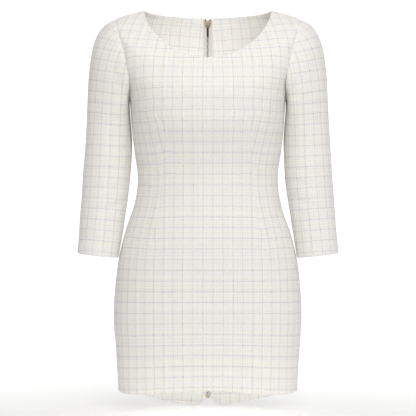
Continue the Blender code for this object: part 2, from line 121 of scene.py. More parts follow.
TORSO = (
    Ring("below hem", -0.060, -0.824, -0.824, -0.824, 0.1815, 0.004, -0.099, 0.111, 0.020, 2.0, 2.0),
    Ring("hem", 0.000, -0.764, -0.764, -0.764, 0.1833, 0.004, -0.100, 0.113, 0.020, 2.0, 2.0),
    Ring("thigh", 0.074, -0.690, -0.690, -0.690, 0.1880, 0.005, -0.104, 0.118, 0.020, 2.0, 2.0),
    Ring("hip", 0.155, -0.609, -0.609, -0.609, 0.1930, 0.005, -0.109, 0.125, 0.020, 2.0, 2.0),
    Ring("upper hip", 0.244, -0.520, -0.520, -0.520, 0.1864, 0.004, -0.112, 0.122, 0.020, 2.0, 2.0),
    Ring("high hip", 0.324, -0.440, -0.440, -0.440, 0.1693, 0.002, -0.108, 0.106, 0.015, 2.0, 2.0),
    Ring("below waist", 0.384, -0.380, -0.380, -0.380, 0.1492, 0.000, -0.100, 0.090, 0.010, 2.0, 2.0),
    Ring("waist", 0.434, -0.330, -0.330, -0.330, 0.1430, 0.000, -0.096, 0.084, 0.010, 2.0, 2.0),
    Ring("rib", 0.494, -0.270, -0.270, -0.270, 0.1512, 0.000, -0.108, 0.089, 0.015, 2.0, 2.0),
    Ring("bust", 0.549, -0.215, -0.215, -0.215, 0.1568, 0.001, -0.127, 0.098, 0.032, 2.0, 2.0),
    Ring("underarm", 0.596, -0.168, -0.168, -0.168, 0.1600, 0.003, -0.127, 0.105, 0.050, 2.0, 2.0),
    Ring("mid armhole", 0.676, -0.088, -0.138, -0.092, 0.1880, 0.006, -0.119, 0.106, 0.038, 1.9, 1.9),
    Ring("shoulder tip", 0.7485, -0.0085, -0.1165, -0.028, 0.1970, 0.008, -0.110, 0.093, 0.015, 1.60, 1.8),
    Ring("shoulder", 0.757, -0.004, -0.113, -0.022, 0.1920, 0.008, -0.1085, 0.0905, 0.010, 1.55, 1.8),
    Ring("neckline", 0.822, 0.0157, -0.093, 0.0065, 0.1320, 0.015, -0.100, 0.080, 0.000, 1.3, 1.6),
)


class SleeveRing(NamedTuple):
    """An oval of the sleeve, tilted square to the arm, measured on the outside of the cloth."""

    name: str
    z: float
    centre_x: float
    centre_y: float
    half_x: float
    half_y: float
    tilt: float


SLEEVE = (
    SleeveRing("upper arm", -0.262, 0.2034, 0.004, 0.0480, 0.0530, 0.0),
    SleeveRing("above elbow", -0.323, 0.2068, 0.002, 0.0489, 0.0510, 2.0),
    SleeveRing("elbow", -0.407, 0.2152, -0.004, 0.0458, 0.0480, 5.0),
    SleeveRing("cuff", -0.487, 0.2243, -0.014, 0.0427, 0.0445, 6.5),
)

HEAD_SLOPE_POWER = 1.2
HEAD_START_TOP = 0.200
HEAD_START_UNDERARM = 0.018
HEAD_END_TOP = 0.360
HEAD_END_UNDERARM = 0.080

# ---------------------------------------------------------------- sizes of the finer form

BODY_ROWS = 172
ARMHOLE_ROWS = 56
SHOULDER_ROWS = 18
CENTRE_COLUMNS = 32
SIDE_COLUMNS = 40
BACK_INNER_COLUMNS = 34
BACK_OUTER_COLUMNS = 38
HEAD_ROWS = 56
ARM_ROWS = 84
SLEEVE_COLUMNS = 104
UNDERARM_SEAM_STEPS = (0.012, 0.030, 0.055)  # turns of extra columns beside the underarm seam
NEAR = (0.0004, 0.0010, 0.0018, 0.0030)  # extra rows and columns this near to an edge or a seam
STRIP = 0.13  # the usual width of a strip of columns, and length of a section of rows
NEAR_KEPT = 1.3  # even rows and columns start this much past the last of the extra ones
RIM_STEPS = 3  # rows round a turned edge
DART_SEARCH = 201  # places tried along a row for a dart's seam
FLATTENING_ROUNDS = 150

HEM_DEPTH = 0.030  # turned up at the hem, at the cuffs and at the neck
CUFF_DEPTH = 0.024
NECK_DEPTH = 0.012
TURNED = 0.0010  # how much thicker the turned cloth is
TURN_EDGE = 0.0015

SEAM_DEPTH = 0.0008
SEAM_WIDTH = 0.0017
ARMHOLE_SEAM_DEPTH = 0.0005
DART_DEPTH = 0.0006
DART_WIDTH = 0.0014
SWELLING = 0.35  # how high the cloth swells beside a seam, against the groove's depth
SWELLING_WIDTH = 3.0  # against the groove's
FOLD_STEPS = 24
FOLD_FADE = 0.8  # how soon a fold is at its full depth: less is sooner
FOLD_RIDGE = 0.9  # how high the ridges beside its trough are
FOLD_FALL = 0.75  # how soon the cloth is level beside it

CHECK_ACROSS = 0.0199  # from one line of the check to the next
CHECK_UP = 0.0212
YARNS = 18  # to a cell of the check, each way
CHECK_LINE_Z = -0.3887  # height of one line of the check at the centre front
BUST_STRETCH = 0.965  # the cloth is shrunk and stretched to shape: cells to a cell of unworked cloth
BACK_STRETCH = (0.95, 0.93)
SLEEVE_STRETCH = (1.0, 0.975)
GRAIN_TILT = -0.035  # the turn of a sleeve's check on its axis
SLEEVE_PHASE = (0.0100, 0.0049)


class Drop(NamedTuple):
    """How much lower the front's check is at its side than at its centre, by height."""

    z: float
    drop: float


FRONT_DROP = (
    Drop(-0.760, 0.0155),
    Drop(-0.600, 0.0070),
    Drop(-0.500, 0.0020),
    Drop(-0.330, 0.0000),
    Drop(-0.200, 0.0030),
    Drop(-0.080, 0.0000),
)


class BackCheck(NamedTuple):
    """Where the check starts on half of the back."""

    side: str
    out: float  # from the centre back to a line
    z: float  # the height of a line


BACK_CHECKS = (BackCheck("right", 0.0116, -0.0402), BackCheck("left", 0.0185, -0.0329))


class Dart(NamedTuple):
    """A point of a dart's seam: its level, and its distance from the centre front or back."""

    level: float
    out: float


FRONT_DART = (
    Dart(0.288, 0.114),
    Dart(0.350, 0.102),
    Dart(0.430, 0.0925),
    Dart(0.510, 0.0865),
    Dart(0.538, 0.0900),
    Dart(0.569, 0.1060),
)
BACK_DART = (
    Dart(0.300, 0.0850),
    Dart(0.430, 0.0760),
    Dart(0.560, 0.0840),
)


# ---------------------------------------------------------------- the body's surface


def monotone_slopes(at, values):
    """Slopes for a smooth curve through the values that doesn't overshoot them."""
    steps = np.diff(values, axis=0) / np.diff(at)[:, None]
    spans = np.diff(at)[:, None]
    slopes = np.zeros_like(values)
    before, after = steps[:-1], steps[1:]
    same_way = before * after > 0
    w1 = 2 * spans[1:] + spans[:-1]
    w2 = spans[1:] + 2 * spans[:-1]
    safe_before = np.where(same_way, before, 1.0)
    safe_after = np.where(same_way, after, 1.0)
    mean = (w1 + w2) / (w1 / safe_before + w2 / safe_after)
    slopes[1:-1] = np.where(same_way, mean, 0.0)
    slopes[0], slopes[-1] = steps[0], steps[-1]
    return slopes


def blend(t, span, start, start_slope, end, end_slope):
    """A smooth curve's value at shares t of a span, from its values and slopes at both ends."""
    return (
        (2 * t**3 - 3 * t**2 + 1) * start
        + (t**3 - 2 * t**2 + t) * span * start_slope
        + (3 * t**2 - 2 * t**3) * end
        + (t**3 - t**2) * span * end_slope
    )


def smooth_at(where, at, values, slopes):
    """A smooth curve with these values and slopes along the first axis, at places between them."""
    i = np.clip(np.searchsorted(at, where, side="right") - 1, 0, len(at) - 2)
    shape = np.shape(where) + (1,) * (values.ndim - 1)
    span = np.reshape(at[i + 1] - at[i], shape)
    t = np.reshape(where - at[i], shape) / span
    return blend(t, span, values[i], slopes[i], values[i + 1], slopes[i + 1])


class Table:
    """A smooth curve through the number columns of a table of rings, softened over a short distance."""

    WEIGHTS = (1 / 16, 4 / 16, 6 / 16, 4 / 16, 1 / 16)

    def __init__(self, rows, key, soft):
        self.soft = soft
        self.names = [n for n in rows[0]._fields if n not in ("name", key)]
        self.at = np.array([getattr(r, key) for r in rows])
        self.values = np.array([[getattr(r, n) for n in self.names] for r in rows])
        self.slopes = monotone_slopes(self.at, self.values)

    def curve(self, where):
        """The columns' values, running on straight past either end."""
        inside = np.clip(where, self.at[0], self.at[-1])
        past = (where - inside)[..., None]
        end_slope = np.where(past < 0, self.slopes[0], self.slopes[-1])
        return smooth_at(inside, self.at, self.values, self.slopes) + past * end_slope

    def __call__(self, where):
        """{column: value} at these places, which may be an array."""
        where = np.asarray(where, float)
        value = sum(w * self.curve(where + (k - 2) * self.soft) for k, w in enumerate(self.WEIGHTS))
        return {name: value[..., k] for k, name in enumerate(self.names)}


torso_table = Table(TORSO, "level", soft=0.010)
sleeve_table = Table(tuple(reversed(SLEEVE)), "z", soft=0.012)


def torso_point(angle, level):
    """Points on the outside of the body, for arrays of angles and levels."""
    angle, level = np.broadcast_arrays(np.asarray(angle, float), np.asarray(level, float))
    ring = torso_table(level)
    across, along = np.cos(angle), np.sin(angle)
    corner = ring["square"]
    x = ring["half_width"] * (across - corner * np.cos(3 * angle)) / (1 - corner)
    reach = (along + corner * np.sin(3 * angle)) / (1 - corner)
    front = along < 0
    end_y = np.where(front, ring["front_y"], ring["back_y"])
    end_z = np.where(front, ring["front_z"], ring["back_z"])
    arch = np.where(front, ring["front_arch"], ring["back_arch"])
    y = ring["side_y"] + (end_y - ring["side_y"]) * np.abs(reach)
    z = ring["side_z"] + (end_z - ring["side_z"]) * np.abs(along) ** arch
    return np.stack([x, y, z], axis=-1)


def unit(vectors):
    return vectors / np.linalg.norm(vectors, axis=-1, keepdims=True)


def torso_normal(angle, level):
    """Outward unit normals of the body's surface."""
    step_angle, step_level = 1e-4, 1e-5
    round_it = torso_point(angle + step_angle, level) - torso_point(angle - step_angle, level)
    up_it = torso_point(angle, level + step_level) - torso_point(angle, level - step_level)
    return unit(np.cross(round_it, up_it))


def angle_for_gap(angle, level, gap):
    """The angle that a distance along the ring takes up."""
    step = 1e-4
    moved = torso_point(angle + step, level) - torso_point(angle, level)
    return gap * step / np.linalg.norm(moved, axis=-1)


def on_seam(angles):
    """The angles, with those of a panel's side edge moved onto the seam, where both walls turn alike."""
    near = 0.01
    seam = np.round(angles / math.pi) * math.pi
    return np.where(np.abs(angles - seam) < near, seam, angles)


def hem_level(angle):
    """The level of the hem: raised in front, lower behind, with the vent at the centre back."""
    along = np.sin(angle)
    front = FRONT_HEM_RISE * along**2 - FRONT_HEM_BOW * np.sin(2 * angle) ** 2
    from_centre = np.abs(np.cos(angle)) * TORSO[1].half_width
    vent = VENT_HEIGHT * np.exp(-((from_centre / VENT_WIDTH) ** 2))
    back = -BACK_HEM_DIP * np.abs(along) ** BACK_HEM_POWER + vent
    return np.where(along < 0, front, back)


def neck_level(angle):
    """The level of the neckline, a little lower beside the zip."""
    from_centre = np.abs(np.cos(angle)) * TORSO[-1].half_width
    dip = NECK_DIP * np.exp(-((from_centre / NECK_DIP_WIDTH) ** 2))
    return np.where(np.sin(angle) > 0, NECKLINE - dip, NECKLINE)


def armhole_share(turn):
    """(level, share of the armhole's half-angle) at each turn: 0 is the underarm, pi the shoulder."""
    up = (1 - np.cos(turn)) / 2
    power = ARMHOLE_FOOT_POWER + (ARMHOLE_TOP_POWER - ARMHOLE_FOOT_POWER) * up
    return UNDERARM + (SHOULDER - UNDERARM) * up, np.abs(np.sin(turn)) ** power


def centre_back_angle(level, from_centre):
    """The angle at which the back is this far from the centre back."""
    ring = torso_table(level)
    corner = ring["square"]
    share = from_centre * (1 - corner) / (ring["half_width"] * (1 + 3 * corner))
    return math.pi / 2 - np.arcsin(share)


# ---------------------------------------------------------------- rows and columns


def graded(count, at_start=False, at_end=False, length=STRIP):
    """Places from 0 to 1: even steps, and closer ones near an end that asks for them."""
    near = np.array(NEAR) / length
    even = np.linspace(0, 1, count + 1)
    keep = np.ones(len(even), bool)
    extra = [np.zeros(1), np.ones(1)]
    if at_start:
        keep &= even > near[-1] * NEAR_KEPT
        extra.append(near)
    if at_end:
        keep &= even < 1 - near[-1] * NEAR_KEPT
        extra.append(1 - near)
    return np.unique(np.round(np.concatenate([even[keep], *extra]), 9))


class Span(NamedTuple):
    """A smooth stretch of rows or columns: where it starts, its places, and which are sampled."""

    start: int
    places: np.ndarray
    sampled: np.ndarray

    @property
    def stop(self):
        return self.start + len(self.places) - 1


def span(start, places, samples, all_above=2.0):
    """A stretch sampled at even places, and at every place past all_above."""
    picked = [int(np.abs(places - t).argmin()) for t in np.linspace(0, 1, samples + 1)]
    picked += list(np.nonzero(places > all_above)[0])
    return Span(start, places, np.unique(picked))


BELOW = graded(BODY_ROWS, at_start=True, length=UNDERARM)
TURNS = np.linspace(0, 1, ARMHOLE_ROWS + 1)
ABOVE = graded(SHOULDER_ROWS, at_end=True, length=NECKLINE - SHOULDER)
row_below = span(0, BELOW, 24)
row_armhole = span(row_below.stop, TURNS, 11, all_above=0.84)
row_above = span(row_armhole.stop, ABOVE, 3)
PANEL_ROWS = (row_below, row_armhole, row_above)


def panel_rows():
    """(kind, place, share of the armhole's half-angle, usual level) of each row, from the hem up."""
    rows = [("below", place, 0.0, UNDERARM * place) for place in BELOW[:-1]]
    rows += [("armhole", level, share, level) for level, share in zip(*armhole_share(TURNS * math.pi))]
    rows += [("above", place, 0.0, SHOULDER + (NECKLINE - SHOULDER) * place) for place in ABOVE[1:]]
    return rows


def row_levels(kind, place, angles):
    """The level of each point of a row."""
    if kind == "below":
        hem = hem_level(angles)
        return hem + (UNDERARM - hem) * place
    if kind == "above":
        return SHOULDER + (neck_level(angles) - SHOULDER) * place
    return np.full_like(angles, place)


def dart_share(dart, level, start, end):
    """The dart's place in a row, as a share of the way from angle start to angle end."""
    at, out = (np.array(column) for column in zip(*dart))
    slopes = monotone_slopes(at, out[:, None])[:, 0]
    slopes[0] = slopes[-1] = 0.0
    level = np.clip(level, at[0], at[-1])
    shares = np.linspace(0, 1, DART_SEARCH)
    x = torso_point(start + (end - start) * shares, level)[:, 0]
    order = np.argsort(x)
    return float(np.interp(smooth_at(level, at, out, slopes), x[order], shares[order]))


def panel_grid(edges, strips, dart, armhole, yields):
    """Points and normals of a half panel, from its centre to its side.

    edges gives its two edge angles at a level, and yields how far a share of the way turns with the
    armhole.
    """
    points, normals = [], []
    for kind, place, share, level in panel_rows():
        start, end = edges(level)
        seam = dart_share(dart, level, start, end)
        inner, outer = strips
        places = np.concatenate([inner * seam, seam + outer[1:] * (1 - seam)])
        angles = start + (end - start) * places + armhole * share * yields(places)
        levels = row_levels(kind, place, angles)
        points.append(torso_point(angles, levels))
        normals.append(torso_normal(on_seam(angles), levels))
    return np.array(points), np.array(normals)


def dart_rows(dart):
    """The sampled rows at which the dart's seam starts and stops."""
    levels = np.array([row[3] for row in panel_rows()])
    sampled = row_below.sampled
    return [int(sampled[np.abs(levels[sampled] - d.level).argmin()]) for d in (dart[0], dart[-1])]


# ---------------------------------------------------------------- laying a panel flat


def spread(values, at, to):
    """Smooth values between samples along the first axis."""
    slopes = np.gradient(values, at, axis=0, edge_order=2 if len(at) > 2 else 1)
    return smooth_at(to, at, values, slopes)


class Flattener:
    """Lays a grid of points flat with each small triangle turned but hardly stretched."""

    LEAST_WEIGHT = 0.03

    def __init__(self, grid, guess, slit=None):
        rows, columns = grid.shape[:2]
        self.left = np.arange(rows * columns).reshape(rows, columns)
        self.right = self.left.copy()
        positions = grid.reshape(-1, 3)
        self.flat = guess.reshape(-1, 2)
        if slit:
            column, low, high = slit
            inside = slice(low + 1, high)
            self.right[inside, column] = len(positions) + np.arange(high - low - 1)
            positions = np.concatenate([positions, grid[inside, column]])
            self.flat = np.concatenate([self.flat, guess[inside, column]])
        self.triangles = self.make_triangles()
        self.measure(positions[self.triangles])

    def make_triangles(self):
        """Both ways of cutting each cell in two."""
        a, b = self.right[:-1, :-1], self.left[:-1, 1:]
        c, d = self.left[1:, 1:], self.right[1:, :-1]
        cuts = ((a, b, c), (a, c, d), (a, b, d), (b, c, d))
        return np.concatenate([np.stack(cut, -1).reshape(-1, 3) for cut in cuts])

    def measure(self, corners):
        """The true edges of each triangle, laid flat, and their weights."""
        along, other = corners[:, 1] - corners[:, 0], corners[:, 2] - corners[:, 0]
        length = np.linalg.norm(along, axis=1)
        sideways = (other * along).sum(1) / length
        own = np.zeros((len(corners), 3, 2))
        own[:, 1, 0] = length
        own[:, 2, 0] = sideways
        own[:, 2, 1] = np.sqrt(np.maximum((other**2).sum(1) - sideways**2, 1e-14))
        self.edges = own - np.roll(own, -1, axis=1)
        ahead, behind = np.roll(own, -1, axis=1) - own, np.roll(own, 1, axis=1) - own
        crossed = ahead[..., 0] * behind[..., 1] - ahead[..., 1] * behind[..., 0]
        slant = (ahead * behind).sum(-1) / np.abs(crossed)
        self.weights = np.maximum(np.roll(slant, -2, axis=1) / 2, self.LEAST_WEIGHT)

    def solver(self, held):
        """The inverse of the weights' matrix with some points held in place."""
        count = len(self.flat)
        matrix = np.zeros((count, count))
        i, j = self.triangles.ravel(), np.roll(self.triangles, -1, axis=1).ravel()
        weight = self.weights.ravel()
        np.add.at(matrix, (i, i), weight)
        np.add.at(matrix, (j, j), weight)
        np.add.at(matrix, (i, j), -weight)
        np.add.at(matrix, (j, i), -weight)
        matrix[held] = 0
        matrix[held, held] = 1
        return np.linalg.inv(matrix)

    def solve(self, held_across):
        """Turns the triangles and fits the points to them in turn."""
        middle = np.array([len(self.flat) // 2])
        held = (np.asarray(held_across) if len(held_across) else middle, middle)
        solvers = [self.solver(middle)]
        solvers.insert(0, self.solver(held[0]) if len(held_across) else solvers[0])
        i, j = self.triangles, np.roll(self.triangles, -1, axis=1)
        for _ in range(FLATTENING_ROUNDS):
            now = self.flat[i] - self.flat[j]
            both = (self.weights[..., None, None] * now[..., :, None] * self.edges[..., None, :]).sum(1)
            turn = np.arctan2(both[:, 1, 0] - both[:, 0, 1], both[:, 0, 0] + both[:, 1, 1])
            cos, sin = np.cos(turn)[:, None], np.sin(turn)[:, None]
            wanted = (
                self.weights * (cos * self.edges[..., 0] - sin * self.edges[..., 1]),
                self.weights * (sin * self.edges[..., 0] + cos * self.edges[..., 1]),
            )
            new = []
            for axis in range(2):
                pull = np.bincount(i.ravel(), wanted[axis].ravel(), len(self.flat))
                pull -= np.bincount(j.ravel(), wanted[axis].ravel(), len(self.flat))
                pull[held[axis]] = self.flat[held[axis], axis]
                new.append(solvers[axis] @ pull)
            self.flat = np.stack(new, -1)
        return self.flat[self.left], self.flat[self.right]


def sampled_lines(spans):
    """The sampled rows or columns of all stretches."""
    return np.unique(np.concatenate([s.start + s.sampled for s in spans]))


def lengths_along(points, axis):
    """How far along the rows (axis 0) or columns (axis 1) each point is from the first."""
    steps = np.linalg.norm(np.diff(points, axis=axis), axis=-1)
    zero = np.zeros_like(np.take(steps, [0], axis=axis))
    return np.concatenate([zero, np.cumsum(steps, axis=axis)], axis=axis)


def lay_flat(points, rows, columns, slit=None, straight_start=False, start_from_top=False):
    """Flat places of a grid's points, as one array for each stretch of columns.

    slit is (column, first row, last row) of a seam that opens in the flat cut. straight_start holds
    the first column on a straight line.
    """
    down, over = sampled_lines(rows), sampled_lines(columns)
    grid = points[np.ix_(down, over)]
    across, up = lengths_along(grid, 1), lengths_along(grid, 0)
    if start_from_top:
        up = up - up[-1]
        across = across - across[:, across.shape[1] // 2][:, None]
    guess = np.stack([across, up], -1)
    if slit:
        column, low, high = slit
        slit = [int(np.nonzero(over == column)[0][0])]
        slit += [int(np.nonzero(down == row)[0][0]) for row in (low, high)]
    flattener = Flattener(grid, guess, slit)
    held = flattener.left[:, 0] if straight_start else ()
    before, after = flattener.solve(held)
    laid = []
    for stretch in columns:
        mine = np.nonzero((over >= stretch.start) & (over <= stretch.stop))[0]
        coarse = before[:, mine].copy()
        coarse[:, 0] = after[:, mine[0]]
        parts = []
        for part in rows:
            own = np.nonzero((down >= part.start) & (down <= part.stop))[0]
            fine = spread(coarse[own], part.places[part.sampled], part.places)
            parts.append(fine if part is rows[-1] else fine[:-1])
        tall = np.concatenate(parts)
        wide = spread(tall.swapaxes(0, 1), stretch.places[stretch.sampled], stretch.places)
        laid.append(wide.swapaxes(0, 1))
    return laid


def turned(laid, angle, shift):
    """Flat places turned by an angle and then moved."""
    cos, sin = math.cos(angle), math.sin(angle)
    spin = np.array([[cos, sin], [-sin, cos]])
    return [part @ spin + np.array(shift) for part in laid]


def cell_corners(laid):
    """The flat places of the left and right corners of each cell, row by row."""
    left = np.concatenate([part[:, :-1] for part in laid], axis=1)
    right = np.concatenate([part[:, 1:] for part in laid], axis=1)
    return left, right


def mirrored_corners(corners):
    left, right = corners
    flip = np.array([-1.0, 1.0])
    return right[:, ::-1] * flip, left[:, ::-1] * flip


def both_halves(corners):
    """The flat places of a whole panel, from those of its right half."""
    return tuple(np.concatenate(pair, axis=1) for pair in zip(mirrored_corners(corners), corners))


# ---------------------------------------------------------------- relief


def distance_to_line(points, line):
    """(distance, share of the way along) to the nearest point of a line through space."""
    flat = points.reshape(-1, 3)
    starts, ends = line[:-1], line[1:]
    best = np.full(len(flat), np.inf)
    place = np.zeros(len(flat))
    reach = np.linalg.norm(ends - starts, axis=1)
    passed = np.concatenate([[0], np.cumsum(reach)])
    for k, (a, b) in enumerate(zip(starts, ends)):
        way = b - a
        size = float(way @ way)
        t = np.clip((flat - a) @ way / size, 0, 1) if size > 0 else np.zeros(len(flat))
        gap = np.linalg.norm(flat - a - t[:, None] * way, axis=1)
        nearer = gap < best
        best[nearer] = gap[nearer]
        place[nearer] = (passed[k] + t[nearer] * reach[k]) / passed[-1]
    shape = points.shape[:-1]
    return best.reshape(shape), place.reshape(shape)


def valley(distance, depth, width):
    """A soft groove along a seam, with a low swelling on each side."""
    near = (distance / width) ** 2
    return depth * (SWELLING * np.exp(-near / SWELLING_WIDTH**2) - (1 + SWELLING) * np.exp(-near))


class Fold(NamedTuple):
    """A soft fold: its line on the cloth, how deep its trough is, and its half-width."""

    name: str
    line: tuple
    depth: float
    width: float


def smooth_line(points):
    """A smooth curve through a few points."""
    points = np.array(points, float)
    at = np.linspace(0, 1, len(points))
    return spread(points, at, np.linspace(0, 1, FOLD_STEPS))


def fold_relief(points, folds, place_on):
    """The troughs of the folds with a soft ridge on each side, fading out at both ends."""
    relief = np.zeros(points.shape[:-1])
    for fold in folds:
        marks = smooth_line(fold.line)
        line = place_on(marks[:, 0], marks[:, 1])
        distance, along = distance_to_line(points, line)
        fade = np.sin(math.pi * np.clip(along, 0, 1)) ** FOLD_FADE
        near = (distance / fold.width) ** 2
        relief -= fold.depth * fade * (1 - FOLD_RIDGE * near) * np.exp(-FOLD_FALL * near)
    return relief


def body_line(degrees, level):
    return torso_point(np.radians(degrees), level)


FRONT_FOLDS = (
    Fold("armpit, upper", ((-44, 0.690), (-36, 0.652), (-24, 0.615), (-14, 0.590)), 0.0016, 0.009),
    Fold("armpit, lower", ((-56, 0.640), (-44, 0.615), (-30, 0.590), (-18, 0.570)), 0.0012, 0.010),
    Fold("waist, side", ((-34, 0.452), (-20, 0.446), (-3, 0.440)), 0.0012, 0.008),
    Fold("under waist, side", ((-30, 0.420), (-18, 0.422), (-3, 0.424)), 0.0009, 0.007),
    Fold("hip, side", ((-30, 0.300), (-20, 0.312), (-6, 0.326)), 0.0006, 0.012),
)
FRONT_FOLDS_LEFT = (
    Fold("armpit, upper", ((-46, 0.695), (-37, 0.655), (-26, 0.618), (-14, 0.594)), 0.0014, 0.010),
    Fold("armpit, lower", ((-54, 0.634), (-42, 0.607), (-29, 0.586), (-16, 0.572)), 0.0014, 0.009),
    Fold("waist, side", ((-30, 0.458), (-18, 0.450), (-3, 0.443)), 0.0010, 0.008),
    Fold("under waist, side", ((-35, 0.414), (-20, 0.420), (-3, 0.427)), 0.0010, 0.008),
    Fold("hip, side", ((-33, 0.312), (-20, 0.318), (-8, 0.322)), 0.0005, 0.013),
)
BACK_FOLDS = (
    Fold("armpit", ((40, 0.700), (33, 0.655), (24, 0.618), (13, 0.590)), 0.0016, 0.010),
    Fold("waist, middle", ((86, 0.462), (66, 0.456), (44, 0.446), (24, 0.442)), 0.0014, 0.010),
    Fold("waist, lower", ((84, 0.430), (64, 0.428), (46, 0.424), (30, 0.428)), 0.0011, 0.009),
    Fold("waist, side", ((36, 0.408), (20, 0.412), (4, 0.420)), 0.0011, 0.008),
    Fold("rib, side", ((34, 0.480), (18, 0.470), (4, 0.464)), 0.0009, 0.009),
)
BACK_FOLDS_LEFT = (
    Fold("armpit", ((42, 0.694), (34, 0.650), (25, 0.612), (13, 0.588)), 0.0014, 0.011),
    Fold("waist, middle", ((86, 0.454), (68, 0.450), (48, 0.448), (26, 0.450)), 0.0012, 0.009),
    Fold("waist, lower", ((86, 0.422), (62, 0.420), (42, 0.418), (26, 0.420)), 0.0013, 0.010),
    Fold("waist, side", ((32, 0.400), (18, 0.408), (4, 0.418)), 0.0010, 0.009),
    Fold("rib, side", ((38, 0.486), (22, 0.474), (4, 0.468)), 0.0010, 0.008),
)
# On a sleeve a line's points are (degrees round it from the outer side by the front, height).
SLEEVE_FOLDS = (
    Fold("front of armpit", ((84, -0.118), (104, -0.152), (126, -0.182)), 0.0020, 0.010),
    Fold("back of armpit", ((-80, -0.110), (-100, -0.148), (-124, -0.182)), 0.0018, 0.011),
    Fold("inner elbow, upper", ((74, -0.352), (104, -0.345), (140, -0.338), (176, -0.342)), 0.0016, 0.008),
    Fold("inner elbow, lower", ((66, -0.392), (100, -0.384), (138, -0.372), (170, -0.368)), 0.0014, 0.008),
    Fold("inner arm", ((100, -0.268), (132, -0.262), (166, -0.270)), 0.0010, 0.009),
    Fold("outer elbow", ((-150, -0.404), (-118, -0.412), (-84, -0.404)), 0.0008, 0.011),
    Fold("long drag", ((40, -0.150), (52, -0.200), (66, -0.262)), 0.0007, 0.012),
)
SLEEVE_FOLDS_LEFT = (
    Fold("front of armpit", ((80, -0.112), (102, -0.148), (124, -0.186)), 0.0018, 0.011),
    Fold("back of armpit", ((-84, -0.116), (-102, -0.150), (-122, -0.178)), 0.0019, 0.010),
    Fold("inner elbow, upper", ((80, -0.360), (108, -0.350), (142, -0.346), (172, -0.352)), 0.0014, 0.009),
    Fold("inner elbow, lower", ((72, -0.402), (104, -0.392), (134, -0.384), (168, -0.386)), 0.0015, 0.008),
    Fold("inner arm", ((96, -0.282), (130, -0.274), (170, -0.278)), 0.0009, 0.009),
    Fold("outer elbow", ((-146, -0.396), (-120, -0.402), (-88, -0.396)), 0.0009, 0.010),
    Fold("long drag", ((46, -0.160), (56, -0.212), (68, -0.276)), 0.0006, 0.012),
)
WAVE = 0.00035  # the cloth's slight unevenness


def unevenness(points, seed):
    """A slow waviness of the cloth."""
    phases = np.random.default_rng(seed).uniform(0, 2 * math.pi, (5, 2))
    total = 0.0
    for k, (first, second) in enumerate(phases):
        pace = 38 + 17 * k
        x, y, z = points[..., 0], points[..., 1], points[..., 2]
        total = total + np.sin(pace * (x + 0.6 * y) + first) * np.cos(pace * 0.7 * z + second)
    return WAVE * total / 2


# ---------------------------------------------------------------- shells


def smooth_step(value, low, high):
    t = np.clip((value - low) / (high - low), 0, 1)
    return t * t * (3 - 2 * t)


def turned_edge(distance, depth):
    """How much thicker the cloth is near an edge that is turned in."""
    return TURNED * (1 - smooth_step(distance, depth - TURN_EDGE, depth + TURN_EDGE))


def rim_rows(edge, beyond, inner):
    """Rows of a half-round from an outer edge to the inner one."""
    middle, half = (edge + inner) / 2, (edge - inner) / 2
    out = edge - beyond
    out = out - (out * half).sum(-1, keepdims=True) / (half**2).sum(-1, keepdims=True) * half
    out = unit(out) * np.linalg.norm(half, axis=-1, keepdims=True)
    turns = [math.pi * (k + 1) / (RIM_STEPS + 1) for k in range(RIM_STEPS)]
    return [middle + half * math.cos(t) + out * math.sin(t) for t in turns]


def quads(low, high):
    """Faces between two rows of vertex numbers, one cell at a time."""
    return np.stack([low[:-1], low[1:], high[1:], high[:-1]], -1)


